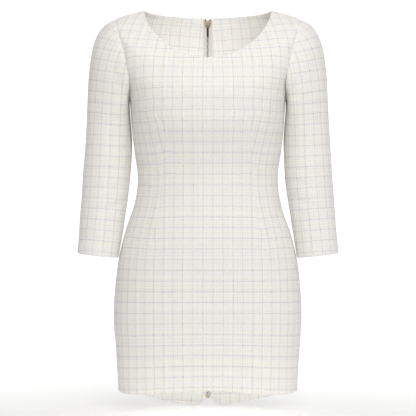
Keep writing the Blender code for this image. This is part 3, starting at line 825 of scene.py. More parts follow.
def shell(name, outer, normals, thickness, corners, material, tube=False):
    """A closed thin shell with round rims at its first and last rows."""
    rows, columns = outer.shape[:2]
    inner = outer - normals * thickness[..., None]
    first_rim = rim_rows(outer[0], outer[4], inner[0])
    last_rim = rim_rows(outer[-1], outer[-5], inner[-1])
    layers = [*outer, *inner, *first_rim, *last_rim]
    numbers = np.arange(len(layers) * columns).reshape(len(layers), columns)
    if tube:
        numbers = np.concatenate([numbers, numbers[:, :1]], axis=1)
    out, back = numbers[:rows], numbers[rows : 2 * rows]
    low_rim = [out[0], *numbers[2 * rows : 2 * rows + RIM_STEPS], back[0]]
    high_rim = [out[-1], *numbers[2 * rows + RIM_STEPS :], back[-1]]
    left, right = corners
    faces, places = [], []

    def add(low, high, low_row, high_row, flip=False):
        """Cells between two rows, with the flat places of two rows of the panel."""
        cell = quads(low, high)
        place = np.stack([left[low_row], right[low_row], right[high_row], left[high_row]], 1)
        faces.append(cell[:, ::-1] if flip else cell)
        places.append(place[:, ::-1] if flip else place)

    for i in range(rows - 1):
        add(out[i], out[i + 1], i, i + 1)
        add(back[i], back[i + 1], i, i + 1, flip=True)
    for near, far in zip(low_rim[:-1], low_rim[1:]):
        add(far, near, 0, 0)
    for near, far in zip(high_rim[:-1], high_rim[1:]):
        add(near, far, rows - 1, rows - 1)
    faces, places = np.concatenate(faces), np.concatenate(places)
    caps, cap_places = [], []
    if not tube:
        for column, corner, flip in ((0, left[:, 0], False), (-1, right[:, -1], True)):
            side = np.stack([out[:-1, column], out[1:, column], back[1:, column], back[:-1, column]], -1)
            place = np.stack([corner[:-1], corner[1:], corner[1:], corner[:-1]], 1)
            faces = np.concatenate([faces, side[:, ::-1] if flip else side])
            places = np.concatenate([places, place[:, ::-1] if flip else place])
            low_cap = [int(row[column]) for row in low_rim]
            high_cap = [int(row[column]) for row in high_rim]
            caps.append(low_cap if flip else low_cap[::-1])
            caps.append(high_cap[::-1] if flip else high_cap)
            cap_places += [np.tile(corner[0], (len(low_cap), 1)), np.tile(corner[-1], (len(high_cap), 1))]
    mesh = bpy.data.meshes.new(name)
    points = np.concatenate([layer.reshape(-1, 3) for layer in layers])
    mesh.from_pydata(points.tolist(), [], faces.tolist() + caps)
    layer = mesh.uv_layers.new(name="cloth")
    flat = np.concatenate([places.reshape(-1, 2), *cap_places]) if caps else places.reshape(-1, 2)
    layer.uv.foreach_set("vector", flat.astype(np.float32).ravel())
    return add_piece(name, mesh, material)


def add_piece(name, mesh, material, sharp=math.radians(50)):
    made = bpy.data.objects.new(name, mesh)
    mesh.shade_smooth()
    mesh.set_sharp_from_angle(angle=sharp)
    mesh.materials.append(material)
    bpy.context.scene.collection.objects.link(made)
    return made


# ---------------------------------------------------------------- panels

FLIP = np.array([-1.0, 1.0, 1.0])  # from the right side to the left

def side_edge_relief(points, depths):
    """The groove along the side seam, the armhole and the shoulder seam."""
    edge = points[:, -1]
    grooves = []
    for part, depth in zip(PANEL_ROWS, depths):
        distance, _ = distance_to_line(points, edge[part.start : part.stop + 1])
        grooves.append(valley(distance, depth, SEAM_WIDTH))
    return np.minimum.reduce(grooves)


def dart_relief(points, column, first, last):
    """The dart's seam: a narrow groove that fades out at both ends."""
    distance, along = distance_to_line(points, points[first : last + 1, column])
    fade = smooth_step(np.minimum(along, 1 - along), 0.0, 0.06)
    return fade * valley(distance, DART_DEPTH, DART_WIDTH)


def panel_thickness(points):
    hem = lengths_along(points, 0)
    neck = hem[-1] - hem
    return CLOTH + turned_edge(hem, HEM_DEPTH) + turned_edge(neck, NECK_DEPTH)


def half_front():
    """Points and normals of the right half of the front, and its flat cut."""
    strips = (graded(CENTRE_COLUMNS, at_end=True), graded(SIDE_COLUMNS, at_start=True, at_end=True))

    def edges(level):
        return -math.pi / 2, -angle_for_gap(0.0, level, SEAM_GAP / 2)

    points, normals = panel_grid(edges, strips, FRONT_DART, ARMHOLE_FRONT, lambda q: -(q * np.abs(q)))
    centre = span(0, strips[0], 9)
    side = span(centre.stop, strips[1], 12)
    first, last = dart_rows(FRONT_DART)
    laid = lay_flat(points, PANEL_ROWS, (centre, side), (centre.stop, first, last), straight_start=True)
    at_line = float(np.interp(CHECK_LINE_Z, points[:, 0, 2], laid[0][:, 0, 1]))
    laid = turned(laid, 0.0, (0.0, -at_line))
    return points, normals, laid, (centre.stop, first, last)


def worked_front(laid, points):
    """The flat places, moved where the cloth was shaped: longer over the bust, and lower at the sides."""
    side_x = points[:, -1:, 0]
    height = points[:, :1, 2]
    drop = np.interp(height, [d.z for d in FRONT_DROP], [d.drop for d in FRONT_DROP])
    worked, start = [], 0
    for part in laid:
        columns = points[:, start : start + part.shape[1], 0]
        start += part.shape[1] - 1
        up = np.where(part[..., 1] > 0, part[..., 1] * BUST_STRETCH, part[..., 1])
        worked.append(np.stack([part[..., 0], up + drop * (columns / side_x) ** 2], axis=-1))
    return worked


def make_front(material):
    points, normals, laid, dart = half_front()
    halves = []
    for folds in (FRONT_FOLDS, FRONT_FOLDS_LEFT):
        relief = side_edge_relief(points, (SEAM_DEPTH, ARMHOLE_SEAM_DEPTH, SEAM_DEPTH))
        relief += dart_relief(points, *dart)
        relief += fold_relief(points, folds, body_line)
        halves.append(points + normals * relief[..., None])
    thickness = panel_thickness(points)
    right, left = halves[0], halves[1] * FLIP
    outer = np.concatenate([left[:, :0:-1], right], axis=1)
    both_normals = np.concatenate([normals[:, :0:-1] * FLIP, normals], axis=1)
    outer = outer + both_normals * unevenness(outer, 5)[..., None]
    both_thickness = np.concatenate([thickness[:, :0:-1], thickness], axis=1)
    cut, check = (both_halves(cell_corners(part)) for part in (laid, worked_front(laid, points)))
    made = shell("front_cloth", outer, both_normals, both_thickness, check, material)
    declare(made, "front")


def make_backs(material):
    counts = (BACK_INNER_COLUMNS, BACK_OUTER_COLUMNS)
    strips = [graded(count, at_start=True, at_end=True) for count in counts]

    def edges(level):
        return centre_back_angle(level, ZIP_SLIT), angle_for_gap(0.0, level, SEAM_GAP / 2)

    points, normals = panel_grid(edges, strips, BACK_DART, ARMHOLE_BACK, lambda q: q**2)
    inner = span(0, strips[0], 9)
    outer = span(inner.stop, strips[1], 11)
    first, last = dart_rows(BACK_DART)
    laid = lay_flat(points, PANEL_ROWS, (inner, outer), (inner.stop, first, last))
    edge = laid[0][:, 0]
    way = edge[-1] - edge[row_below.stop // 4]
    laid = turned(laid, -(math.pi / 2 - math.atan2(way[1], way[0])), (0.0, 0.0))
    edge = laid[0][:, 0]
    base = -float(edge[row_below.stop :, 0].mean()) + ZIP_SLIT
    relief = side_edge_relief(points, (SEAM_DEPTH, ARMHOLE_SEAM_DEPTH, SEAM_DEPTH))
    relief += dart_relief(points, inner.stop, first, last)
    thickness = panel_thickness(points)
    for start, folds, seed in zip(BACK_CHECKS, (BACK_FOLDS, BACK_FOLDS_LEFT), (7, 8)):
        raised = relief + fold_relief(points, folds, body_line)
        moved = points + normals * raised[..., None]
        at_line = float(np.interp(start.z, points[:, 0, 2], edge[:, 1]))
        placed = turned(laid, 0.0, (base - start.out, -at_line))
        check = cell_corners([part * BACK_STRETCH + (CHECK_ACROSS / 2, 0.0) for part in placed])
        if start.side == "right":
            grid, facing = moved[:, ::-1], normals[:, ::-1]
            check = mirrored_corners(check)
            thick = thickness[:, ::-1]
        else:
            grid, facing, thick = moved * FLIP, normals * FLIP, thickness
        grid = grid + facing * unevenness(grid, seed)[..., None]
        made = shell(f"back_{start.side}_cloth", grid, facing, thick, check, material)
        declare(made, f"back_{start.side}")


# ---------------------------------------------------------------- sleeves

HEAD_PLACES = graded(HEAD_ROWS, at_start=True)
ARM_PLACES = graded(ARM_ROWS, at_end=True, length=SLEEVE[0].z - SLEEVE[-1].z)


def sleeve_ring(z, turn):
    """Points of an oval of the sleeve. Turn 0 is the outer side, a quarter the front."""
    ring = sleeve_table(z)
    tilt = np.radians(ring["tilt"])
    sideways = ring["half_x"] * np.cos(turn)
    x = ring["centre_x"] + sideways * np.cos(tilt)
    y = ring["centre_y"] - ring["half_y"] * np.sin(turn)
    return np.stack([x, y, z + sideways * np.sin(tilt)], axis=-1)


def armhole_point(turn):
    """Points and body normals round the right armhole. Turn 0 is the shoulder, a quarter the front."""
    level, share = armhole_share(math.pi - np.abs(turn))
    angle = np.where(turn >= 0, -ARMHOLE_FRONT, ARMHOLE_BACK) * share
    return torso_point(angle, level), torso_normal(angle, level)


def sleeve_grid(turn):
    """Points of the right sleeve, from its head to the cuff, at turns from -pi (underarm) to pi."""
    edge, edge_normal = armhole_point(turn)
    low = (1 - np.cos(turn)) / 2  # 0 at the shoulder, 1 at the underarm
    slope = SHOULDER_SLOPE + (UNDERARM_SLOPE - SHOULDER_SLOPE) * low**HEAD_SLOPE_POWER
    start = np.stack([np.cos(slope), np.zeros(len(turn)), -np.sin(slope)], axis=-1)
    leave = start * (HEAD_START_TOP + (HEAD_START_UNDERARM - HEAD_START_TOP) * low)[:, None]
    top_z, step = SLEEVE[0].z, 0.004
    arm = sleeve_ring(top_z, turn)
    down = unit(sleeve_ring(top_z - step, turn) - arm)
    arrive = down * (HEAD_END_TOP + (HEAD_END_UNDERARM - HEAD_END_TOP) * low)[:, None]
    edge = edge + start * SLEEVE_GAP + edge_normal * CLEARANCE * low[:, None]
    rows = [blend(t, 1.0, edge, leave, arm, arrive) for t in HEAD_PLACES[:-1]]
    rows += [sleeve_ring(top_z + (SLEEVE[-1].z - top_z) * place, turn) for place in ARM_PLACES]
    return np.array(rows)


def sleeve_turns():
    even = np.linspace(-math.pi, math.pi, SLEEVE_COLUMNS + 1)
    beside = np.array(UNDERARM_SEAM_STEPS)
    kept = even[np.abs(even) < math.pi - beside[-1] * NEAR_KEPT]
    return np.concatenate([[-math.pi], -math.pi + beside, kept, math.pi - beside[::-1], [math.pi]])


def tube_normals(points):
    """Outward normals of a tube's grid whose last column repeats its first."""
    open_grid = points[:, :-1]
    round_it = np.roll(open_grid, -1, axis=1) - np.roll(open_grid, 1, axis=1)
    down_it = np.gradient(open_grid, axis=0)
    normal = unit(np.cross(round_it, down_it))
    return np.concatenate([normal, normal[:, :1]], axis=1)


def sleeve_line(degrees, height):
    """A line on the right sleeve at these turns and rough heights."""
    turns = np.radians(degrees)
    grid = sleeve_grid(turns)
    picked = [np.abs(grid[:, k, 2] - z).argmin() for k, z in enumerate(height)]
    return np.array([grid[i, k] for k, i in enumerate(picked)])


def make_sleeves(material):
    turns = sleeve_turns()
    points = sleeve_grid(turns)
    normals = tube_normals(points)
    head = span(0, HEAD_PLACES, 14)
    arm = span(head.stop, ARM_PLACES, 14)
    places = (turns + math.pi) / (2 * math.pi)
    round_it = span(0, places, 36)
    laid = lay_flat(points, (head, arm), (round_it,), start_from_top=True)
    middle = len(turns) // 2
    spine = laid[0][:, middle]
    way = spine[-1] - spine[head.stop]
    laid = turned(laid, -(math.pi / 2 - math.atan2(way[1], way[0])), (0.0, 0.0))
    tilted = turned(laid, GRAIN_TILT, (0.0, 0.0))[0]
    worked = (tilted - tilted[-1, middle]) * SLEEVE_STRETCH + SLEEVE_PHASE
    seam = valley(distance_to_line(points, points[:, 0])[0], SEAM_DEPTH * 0.7, SEAM_WIDTH)
    joined = valley(distance_to_line(points, points[0])[0], ARMHOLE_SEAM_DEPTH, SEAM_WIDTH)
    from_cuff = lengths_along(points, 0)
    from_cuff = from_cuff[-1] - from_cuff
    thickness = CLOTH + turned_edge(from_cuff, CUFF_DEPTH)
    for side, folds, seed in (("right", SLEEVE_FOLDS, 11), ("left", SLEEVE_FOLDS_LEFT, 12)):
        relief = seam + joined + fold_relief(points, folds, sleeve_line)
        grid = (points + normals * relief[..., None])[:, :-1]
        facing, thick = normals[:, :-1], thickness[:, :-1]
        grid = grid + facing * unevenness(grid, seed)[..., None]
        check = cell_corners([worked])
        if side == "left":
            # The first column stays first, so that the cells keep their order round the tube.
            order = np.concatenate([[0], np.arange(grid.shape[1] - 1, 0, -1)])
            grid, facing, thick = grid[:, order] * FLIP, facing[:, order] * FLIP, thick[:, order]
            check = mirrored_corners(check)
        made = shell(f"sleeve_{side}_cloth", grid, facing, thick, check, material, tube=True)
        declare(made, f"sleeve_{side}")


def declare(made, node):
    """The shell is carried by the dress and stands in for its solid, which is hidden."""
    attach(made, "dress")
    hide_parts(node)


# ---------------------------------------------------------------- materials


class Graph:
    """Builds a material's nodes."""

    def __init__(self, name):
        self.material = bpy.data.materials.new(name)
        self.material.use_nodes = True
        self.tree = self.material.node_tree
        self.shader = self.tree.nodes["Principled BSDF"]

    def feed(self, socket, value):
        if isinstance(value, bpy.types.NodeSocket):
            self.tree.links.new(value, socket)
        else:
            socket.default_value = value

    def node(self, kind, inputs, output=0, **settings):
        made = self.tree.nodes.new("ShaderNode" + kind)
        for name, value in settings.items():
            setattr(made, name, value)
        for socket, value in inputs.items():
            self.feed(made.inputs[socket], value)
        return made.outputs[output]

    def math(self, operation, *values):
        return self.node("Math", dict(enumerate(values)), operation=operation)

    def split(self, vector):
        """The three numbers of a vector."""
        apart = self.tree.nodes.new("ShaderNodeSeparateXYZ")
        self.feed(apart.inputs[0], vector)
        return apart.outputs

    def mix(self, factor, first, second):
        return self.node("Mix", {0: factor, 6: first, 7: second}, output=2, data_type="RGBA")

    def noise(self, where, scale, detail=2.0, roughness=0.5):
        inputs = {"Vector": where, "Scale": scale, "Detail": detail, "Roughness": roughness}
        return self.node("TexNoise", inputs)

    def ramp(self, value, low, high):
        """0 up to low, 1 from high on."""
        return self.node("MapRange", {0: value, 1: low, 2: high})

    def every(self, number, period, first=0.0):
        """1 at each whole number that is first or a whole number of periods from it, else 0."""
        left = self.math("FLOORED_MODULO", number, float(period))
        return self.math("COMPARE", left, first, 0.5)

    def chance(self, number, offset):
        """The same random number from 0 to 1 for each whole number."""
        return self.node("TexWhiteNoise", {"W": self.math("ADD", number, offset)}, noise_dimensions="1D")

    def set(self, **values):
        for name, value in values.items():
            self.feed(self.shader.inputs[name.replace("_", " ")], value)

    def bump(self, height, distance, strength):
        inputs = {"Strength": strength, "Distance": distance, "Height": height}
        self.feed(self.shader.inputs["Normal"], self.node("Bump", inputs))


def linear(red, green, blue):
    """A colour given from 0 to 255 as on a screen, for a shader."""
    values = [c / 255 for c in (red, green, blue)]
    return tuple(c / 12.92 if c <= 0.04045 else ((c + 0.055) / 1.055) ** 2.4 for c in values) + (1.0,)


GROUND = linear(246, 244, 237)
LINE_DARK = linear(150, 149, 170)
LINE_LIGHT = linear(205, 203, 213)
RIB = linear(222, 220, 216)
TINTS = (linear(247, 241, 218), linear(246, 230, 226), linear(226, 226, 240), linear(228, 240, 224))

WOBBLE_NOISE = 90.0  # the scales of the tweed's noises
PATCH_NOISE = 190.0
BREAK_NOISE = 330.0
SLUB_NOISE = 420.0
CLOUD_NOISE = 95.0
WOBBLE = 0.9  # how far a yarn strays, in yarns
TINTED = 0.6  # how strong the yarns' tints, the ribs and the check's lines are
RIBBED = 0.75
SECOND_YARN = 0.5
LEAST_LINE = 0.3
SLUB_HEIGHT = 1.2  # against a yarn's own height


def tweed():
    """Cream tweed with a fine windowpane check of grey-lilac yarns, in the cloth's own coordinates."""
    graph = Graph("checked tweed")
    cloth = graph.node("UVMap", {}, uv_map="cloth")
    places = graph.split(cloth)
    wobble = graph.math("SUBTRACT", graph.noise(cloth, WOBBLE_NOISE), 0.5)
    wobble = graph.math("MULTIPLY", wobble, WOBBLE)
    yarns = []
    for axis, cell, offset in ((0, CHECK_ACROSS, -0.5), (1, CHECK_UP, 0.0)):
        cells = graph.math("DIVIDE", places[axis], cell)
        counted = graph.math("MULTIPLY", graph.math("ADD", cells, offset), float(YARNS))
        counted = graph.math("ADD", counted, wobble)
        whole = graph.math("FLOOR", graph.math("ADD", counted, 0.5))
        yarns.append((whole, graph.math("SUBTRACT", counted, whole)))
    (warp, across), (weft, up) = yarns
    over = graph.every(graph.math("ADD", warp, weft), 2)
    patchy = graph.ramp(graph.noise(cloth, PATCH_NOISE, detail=3.0), 0.32, 0.68)
    broken = graph.ramp(graph.noise(cloth, BREAK_NOISE, detail=1.0), 0.34, 0.62)
    colours, heights = [], []
    for number, place, other, offset in ((warp, across, up, 11.0), (weft, up, across, 977.0)):
        luck = graph.chance(number, offset)
        tint = graph.mix(graph.math("GREATER_THAN", luck, 0.5), TINTS[0], TINTS[1])
        cool = graph.mix(graph.math("GREATER_THAN", luck, 0.75), TINTS[2], TINTS[3])
        tint = graph.mix(graph.math("GREATER_THAN", graph.chance(number, offset + 0.37), 0.5), tint, cool)
        plain = graph.mix(graph.math("MULTIPLY", patchy, TINTED), GROUND, tint)
        bundle = {"W": graph.math("MULTIPLY_ADD", number, 0.37, offset), "Scale": 1.0, "Detail": 1.0}
        streak = graph.ramp(graph.node("TexNoise", bundle, noise_dimensions="1D"), 0.45, 0.66)
        plain = graph.mix(graph.math("MULTIPLY", streak, RIBBED), plain, RIB)
        line = graph.mix(patchy, LINE_DARK, LINE_LIGHT)
        beside = graph.math("MULTIPLY", graph.every(number, YARNS, 1.0), SECOND_YARN)
        strength = graph.math("ADD", graph.every(number, YARNS), beside)
        whole = graph.math("MULTIPLY_ADD", broken, 1 - LEAST_LINE, LEAST_LINE)
        strength = graph.math("MULTIPLY", strength, whole)
        colours.append(graph.mix(strength, plain, line))
        round_it = graph.math("COSINE", graph.math("MULTIPLY", place, math.pi))
        along = graph.math("COSINE", graph.math("MULTIPLY", other, math.pi))
        heights.append(graph.math("MULTIPLY", round_it, graph.math("MULTIPLY_ADD", along, 0.5, 0.5)))
    colour = graph.mix(over, colours[1], colours[0])
    height = graph.node("Mix", {0: over, 2: heights[1], 3: heights[0]}, data_type="FLOAT")
    slubs = graph.noise(cloth, SLUB_NOISE, detail=4.0, roughness=0.7)
    height = graph.math("MULTIPLY_ADD", slubs, SLUB_HEIGHT, height)
    shade = graph.math("MULTIPLY_ADD", slubs, 0.24, 0.87)
    shade = graph.math("MULTIPLY_ADD", graph.noise(cloth, CLOUD_NOISE), 0.06, shade)
    shaded = {0: 1.0, 6: colour, 7: shade}
    colour = graph.node("Mix", shaded, output=2, data_type="RGBA", blend_type="MULTIPLY")
    graph.set(Base_Color=colour, Roughness=0.92, Sheen_Weight=0.12, Sheen_Roughness=0.55)
    graph.set(Specular_IOR_Level=0.25)
    graph.bump(height, 0.00022, 0.7)
    return graph.material


def tape_cloth():
    """Cream woven zip tape with a fine herringbone."""
    graph = Graph("woven tape")
    cloth = graph.node("UVMap", {}, uv_map="cloth")
    across, up, _ = graph.split(cloth)
    band = graph.math("PINGPONG", graph.math("MULTIPLY", across, 700.0), 1.0)
    rise = graph.math("MULTIPLY_ADD", up, 1500.0, band)
    ribs = graph.math("PINGPONG", rise, 0.5)
    fuzz = graph.noise(cloth, 900.0)
    colour = graph.mix(graph.math("MULTIPLY", ribs, 0.9), linear(214, 210, 200), linear(240, 236, 227))
    graph.set(Base_Color=colour, Roughness=0.85, Sheen_Weight=0.08, Specular_IOR_Level=0.3)
    graph.bump(graph.math("MULTIPLY_ADD", fuzz, 0.5, ribs), 0.00015, 0.8)
    return graph.material


def metal(name, colour, worn, roughness):
    """Plated metal with slight stains and small scratches."""
    graph = Graph(name)
    where = graph.node("TexCoord", {}, output=3)
    stain = graph.noise(where, 260.0, detail=4.0, roughness=0.6)
    grain = graph.noise(where, 2600.0, detail=2.0)
    graph.set(Base_Color=graph.mix(stain, colour, worn), Metallic=1.0)
    graph.set(Roughness=graph.math("MULTIPLY_ADD", grain, 0.22, roughness))
    graph.bump(graph.math("ADD", stain, grain), 0.00004, 0.5)
    return graph.material


# ---------------------------------------------------------------- zip


def beside_zip(level, x, depth):
    """A point and its normal beside the centre back, this deep under the cloth's face."""
    angle = centre_back_angle(level, np.abs(x))
    side = np.array((math.copysign(1, x), 1, 1))
    normal = torso_normal(angle, level) * side
    return torso_point(angle, level) * side - normal * depth, normal


def even_levels(bottom, top, pitch):
    """Levels at even distances along the centre back."""
    levels = np.linspace(bottom, top, 1200)
    line = torso_point(math.pi / 2, levels)
    passed = np.concatenate([[0], np.cumsum(np.linalg.norm(np.diff(line, axis=0), axis=1))])
    return np.interp(np.arange(0, passed[-1], pitch), passed, levels)


def joined(name, shapes, material):
    """One mesh of many small ones, given as (points, faces)."""
    points, faces, count = [], [], 0
    for own, cells in shapes:
        points += [tuple(p) for p in own]
        faces += [tuple(n + count for n in cell) for cell in cells]
        count += len(own)
    mesh = bpy.data.meshes.new(name)
    mesh.from_pydata(points, [], faces)
    return add_piece(name, mesh, material, sharp=math.radians(35))


def stacked(layers):
    """(points, faces) of outlines joined each to the next, with closed ends."""
    count = len(layers[0])
    last = (len(layers) - 1) * count
    faces = [tuple(range(count))[::-1], tuple(range(last, last + count))]
    for low in range(0, last, count):
        for i in range(count):
            j = (i + 1) % count
            faces.append((low + i, low + j, low + count + j, low + count + i))
    return np.concatenate(layers), faces


TOOTH_PITCH = 0.00254
TOOTH_FOOT = 0.00062  # half-height where it grips the tape
TOOTH_WAIST = 0.00050
TOOTH_HEAD = 0.00078
TOOTH_PAST = 0.00055  # how far its head reaches past the centre


def make_teeth(material):
    """Two rows of metal teeth that lock into each other."""
    edge = CHAIN_WIDTH / 2
    right = [(edge, -TOOTH_FOOT), (edge, TOOTH_FOOT), (0.0011, TOOTH_WAIST), (0.0004, TOOTH_HEAD)]
    right += [(-TOOTH_PAST, TOOTH_HEAD * 0.7), (-TOOTH_PAST, -TOOTH_HEAD * 0.7)]
    right += [(0.0004, -TOOTH_HEAD), (0.0011, -TOOTH_WAIST)]
    half, middle = CHAIN / 2, np.mean(right, axis=0)
    layers = []
    for height, scale in ((-half, 0.72), (-half + 0.0004, 1.0), (half - 0.0004, 1.0), (half, 0.72)):
        outline = middle + (np.array(right) - middle) * scale
        layers.append(np.column_stack([outline, np.full(len(right), height)]))
    points, faces = stacked(layers)
    shapes = []
    levels = even_levels(CHAIN_BOTTOM + 0.001, CHAIN_TOP - 0.001, TOOTH_PITCH / 2)
    middles, normals = beside_zip(levels, 0.0, CHAIN_SINK + half)
    ahead, _ = beside_zip(levels + 1e-3, 0.0, CHAIN_SINK + half)
    for k, (middle, up, out) in enumerate(zip(middles, unit(ahead - middles), normals)):
        side = 1 if k % 2 else -1
        basis = np.stack([np.array((side, 0.0, 0.0)), up, out])
        cells = [cell[::-1] for cell in faces] if side > 0 else faces
        shapes.append((middle + points @ basis, cells))
    return joined("zip_teeth", shapes, material)


def thread(centre, along, out, length, radius):
    """(points, faces) of one stitch: a short thread that dips at both ends."""
    sides = np.cross(along, out)
    places = ((-0.5, -0.9, 0.5), (-0.3, 0.1, 1.0), (0.0, 0.35, 1.0), (0.3, 0.1, 1.0), (0.5, -0.9, 0.5))
    turns = np.linspace(0, 2 * math.pi, STITCH_SIDES, endpoint=False)[:, None]
    ring = radius * (np.cos(turns) * sides + np.sin(turns) * out)
    layers = []
    for share, lift, scale in places:
        layers.append(centre + along * length * share + out * radius * lift + ring * scale)
    return stacked(layers)


TAPE_ROWS = 260
TAPE_COLUMNS = 7
STITCH = 0.0030
STITCH_THREAD = 0.00022
STITCH_OUT = 0.0070  # from the centre back
STITCH_SIDES = 5


def make_stitches(material):
    """The sewing that holds the tapes, a row on the inside of each."""
    shapes = []
    for x in (STITCH_OUT, -STITCH_OUT):
        depth = CLOTH + TAPE_CLEARANCE + TAPE + STITCH_THREAD * 0.3
        levels = even_levels(TAPE_BOTTOM + 0.004, TAPE_TOP - 0.004, STITCH)
        centres, normals = beside_zip(levels, x, depth)
        ahead, _ = beside_zip(levels + 1e-3, x, depth)
        for centre, along, normal in zip(centres, unit(ahead - centres), normals):
            shapes.append(thread(centre, along, -normal, STITCH * 0.8, STITCH_THREAD))
    return joined("tape_stitches", shapes, material)


def make_tape(side, sign, material):
    """A woven tape that follows the centre back, on the inside of the cloth."""
    levels = np.linspace(TAPE_BOTTOM, TAPE_TOP, TAPE_ROWS)
    outs = sign * (TAPE_EDGE + TAPE_WIDTH * np.linspace(0, 1, TAPE_COLUMNS))
    columns = [beside_zip(levels, x, CLOTH + TAPE_CLEARANCE) for x in outs]
    grid, facing = (np.stack(parts, axis=1) for parts in zip(*columns))
    if sign > 0:
        grid, facing = grid[:, ::-1], facing[:, ::-1]
    up = lengths_along(grid, 0)
    across = lengths_along(grid, 1)
    flat = np.stack([across, up], -1)
    corners = cell_corners([flat])
    made = shell(f"tape_{side}", grid, facing, np.full(grid.shape[:2], TAPE), corners, material)
    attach(made, "dress")
    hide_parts(f"zip_tape_{side}")


def round_off(node, width, material):
    """Rounds the edges of a carried-over metal piece and gives it its finish."""
    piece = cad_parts[node]
    weld = piece.modifiers.new("weld", "WELD")
    weld.merge_threshold = 1e-5
    clean = piece.modifiers.new("flat faces", "DECIMATE")
    clean.decimate_type = "DISSOLVE"
    clean.angle_limit = math.radians(1)
    edge = piece.modifiers.new("round edges", "BEVEL")
    edge.width = width
    edge.segments = 3
    edge.limit_method = "ANGLE"
    edge.angle_limit = math.radians(30)
    piece.data.shade_smooth()
    piece.data.materials.clear()
    piece.data.materials.append(material)


def make_zip():
    dark = metal("dark zip metal", linear(46, 45, 45), linear(64, 63, 61), 0.5)
    warm = metal("pale zip metal", linear(198, 184, 164), linear(220, 207, 188), 0.34)
    tape = tape_cloth()
    teeth = make_teeth(dark)
    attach(teeth, "dress")
    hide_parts("zip_chain")
    for side, sign in (("right", 1), ("left", -1)):
        make_tape(side, sign, tape)
    stitches = make_stitches(tape)
    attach(stitches, "dress")
    round_off("zip_slider", 0.0004, warm)
    round_off("zip_pull", 0.0004, warm)
    round_off("zip_end_box", 0.0003, warm)
    for side in ("left", "right"):
        round_off(f"zip_top_stop_{side}", 0.0002, dark)


# ---------------------------------------------------------------- stage

CAMERA_SIDE = 0.0005
CAMERA_HEIGHT = -0.3915
CAMERA_DISTANCE = 3.30
VIEW_WIDTH = 0.853  # what the frame takes in at the origin's distance
FLOOR_BELOW = 0.004  # from the lowest point of the hem to the floor
BACKDROP_NEAR, BACKDROP_FAR = -0.45, 6.0
BACKDROP_CURVE = 1.2
BACKDROP_HEIGHT = 4.0
BACKDROP_HALF_WIDTH = 4.5
FLOOR_PAINT = (0.5, 0.93)  # in front of the dress, and from it on
PAINT_CHANGES = (-0.30, -0.08)
STAGE_GLOW = (0.17, 0.66)  # near the dress, and far behind it
GLOW_CHANGES = (0.0, 1.2)


class Lamp(NamedTuple):
    """A soft rectangular light that isn't seen itself. One that doesn't shine isn't reflected either."""

    name: str
    place: tuple
    aim: tuple
    size: tuple
    watts: float
    colour: tuple
    shines: bool


DRESS = (0, 0, -0.40)
NECK_INSIDE = (0, 0.085, -0.035)
HEM_INSIDE = (0, 0.11, -0.79)
WHITE = (1, 1, 1)
LAMPS = (
    Lamp("front", (0.4, -3.4, 0.70), DRESS, (2.6, 1.5), 67, (1.0, 0.995, 0.985), True),
    Lamp("right", (2.2, -2.2, 0.6), DRESS, (1.6, 2.0), 11, (0.97, 0.985, 1.0), True),
    Lamp("left", (-2.2, -2.2, 0.6), DRESS, (1.6, 2.0), 7, (1.0, 0.97, 0.92), True),
    Lamp("top", (0, -0.4, 2.4), DRESS, (2.6, 2.0), 17, WHITE, True),
    Lamp("in the neck", (0, -0.07, -0.16), NECK_INSIDE, (0.16, 0.04), 0.115, WHITE, False),
    Lamp("in the skirt", (0, -0.06, -0.69), HEM_INSIDE, (0.22, 0.04), 0.165, WHITE, False),
)
SKY = (1.0, 0.995, 0.985, 1)
SKY_STRENGTH = 0.36


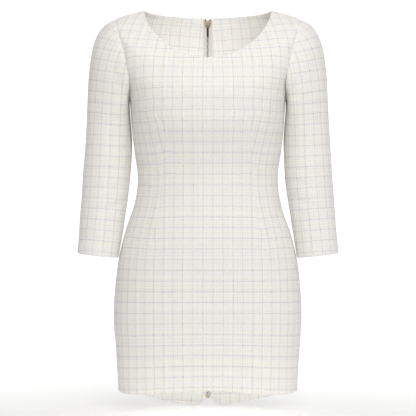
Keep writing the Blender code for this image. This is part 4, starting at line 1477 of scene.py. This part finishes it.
def make_stage():
    """A pale floor that curves up behind into a pale backdrop."""
    graph = Graph("backdrop")
    _, behind, _ = graph.split(graph.node("TexCoord", {}, output=3))
    greys = [(value, value, value, 1) for value in FLOOR_PAINT]
    paint = graph.mix(graph.ramp(behind, *PAINT_CHANGES), *greys)
    graph.set(Base_Color=paint, Roughness=0.9, Specular_IOR_Level=0.1)
    near, far = STAGE_GLOW
    glow = graph.math("MULTIPLY_ADD", graph.ramp(behind, *GLOW_CHANGES), far - near, near)
    graph.set(Emission_Color=(1, 1, 1, 1), Emission_Strength=glow)
    floor = frame_low[2] - FLOOR_BELOW
    profile = [(BACKDROP_NEAR, floor)]
    for k in range(13):
        turn = math.pi / 2 * k / 12
        out = BACKDROP_FAR - BACKDROP_CURVE + BACKDROP_CURVE * math.sin(turn)
        profile.append((out, floor + BACKDROP_CURVE * (1 - math.cos(turn))))
    profile.append((BACKDROP_FAR, floor + BACKDROP_HEIGHT))
    points = [(x, y, z) for y, z in profile for x in (-BACKDROP_HALF_WIDTH, BACKDROP_HALF_WIDTH)]
    faces = [(2 * k, 2 * k + 1, 2 * k + 3, 2 * k + 2) for k in range(len(profile) - 1)]
    mesh = bpy.data.meshes.new("backdrop")
    mesh.from_pydata(points, [], faces)
    add_piece("backdrop", mesh, graph.material)


def make_lights():
    for lamp in LAMPS:
        data = bpy.data.lights.new(lamp.name, "AREA")
        data.shape = "RECTANGLE"
        data.size, data.size_y = lamp.size
        data.energy = lamp.watts
        data.color = lamp.colour
        made = bpy.data.objects.new(lamp.name, data)
        made.location = lamp.place
        way = Vector(lamp.aim) - Vector(lamp.place)
        made.rotation_euler = way.to_track_quat("-Z", "Y").to_euler()
        made.visible_camera = False
        made.visible_glossy = lamp.shines
        bpy.context.scene.collection.objects.link(made)
    world = bpy.data.worlds.new("studio")
    world.use_nodes = True
    sky = world.node_tree.nodes["Background"].inputs
    sky["Color"].default_value = SKY
    sky["Strength"].default_value = SKY_STRENGTH
    bpy.context.scene.world = world


def make_camera():
    data = bpy.data.cameras.new("camera")
    data.sensor_width = 36
    data.lens = 36 * CAMERA_DISTANCE / VIEW_WIDTH
    made = bpy.data.objects.new("camera", data)
    made.location = (CAMERA_SIDE, -CAMERA_DISTANCE, CAMERA_HEIGHT)
    made.rotation_euler = (math.pi / 2, 0, 0)
    bpy.context.scene.collection.objects.link(made)
    bpy.context.scene.camera = made
    bpy.context.scene.view_settings.view_transform = "Standard"


cloth = tweed()
make_camera()
make_front(cloth)
make_backs(cloth)
make_sleeves(cloth)
make_zip()
make_stage()
make_lights()
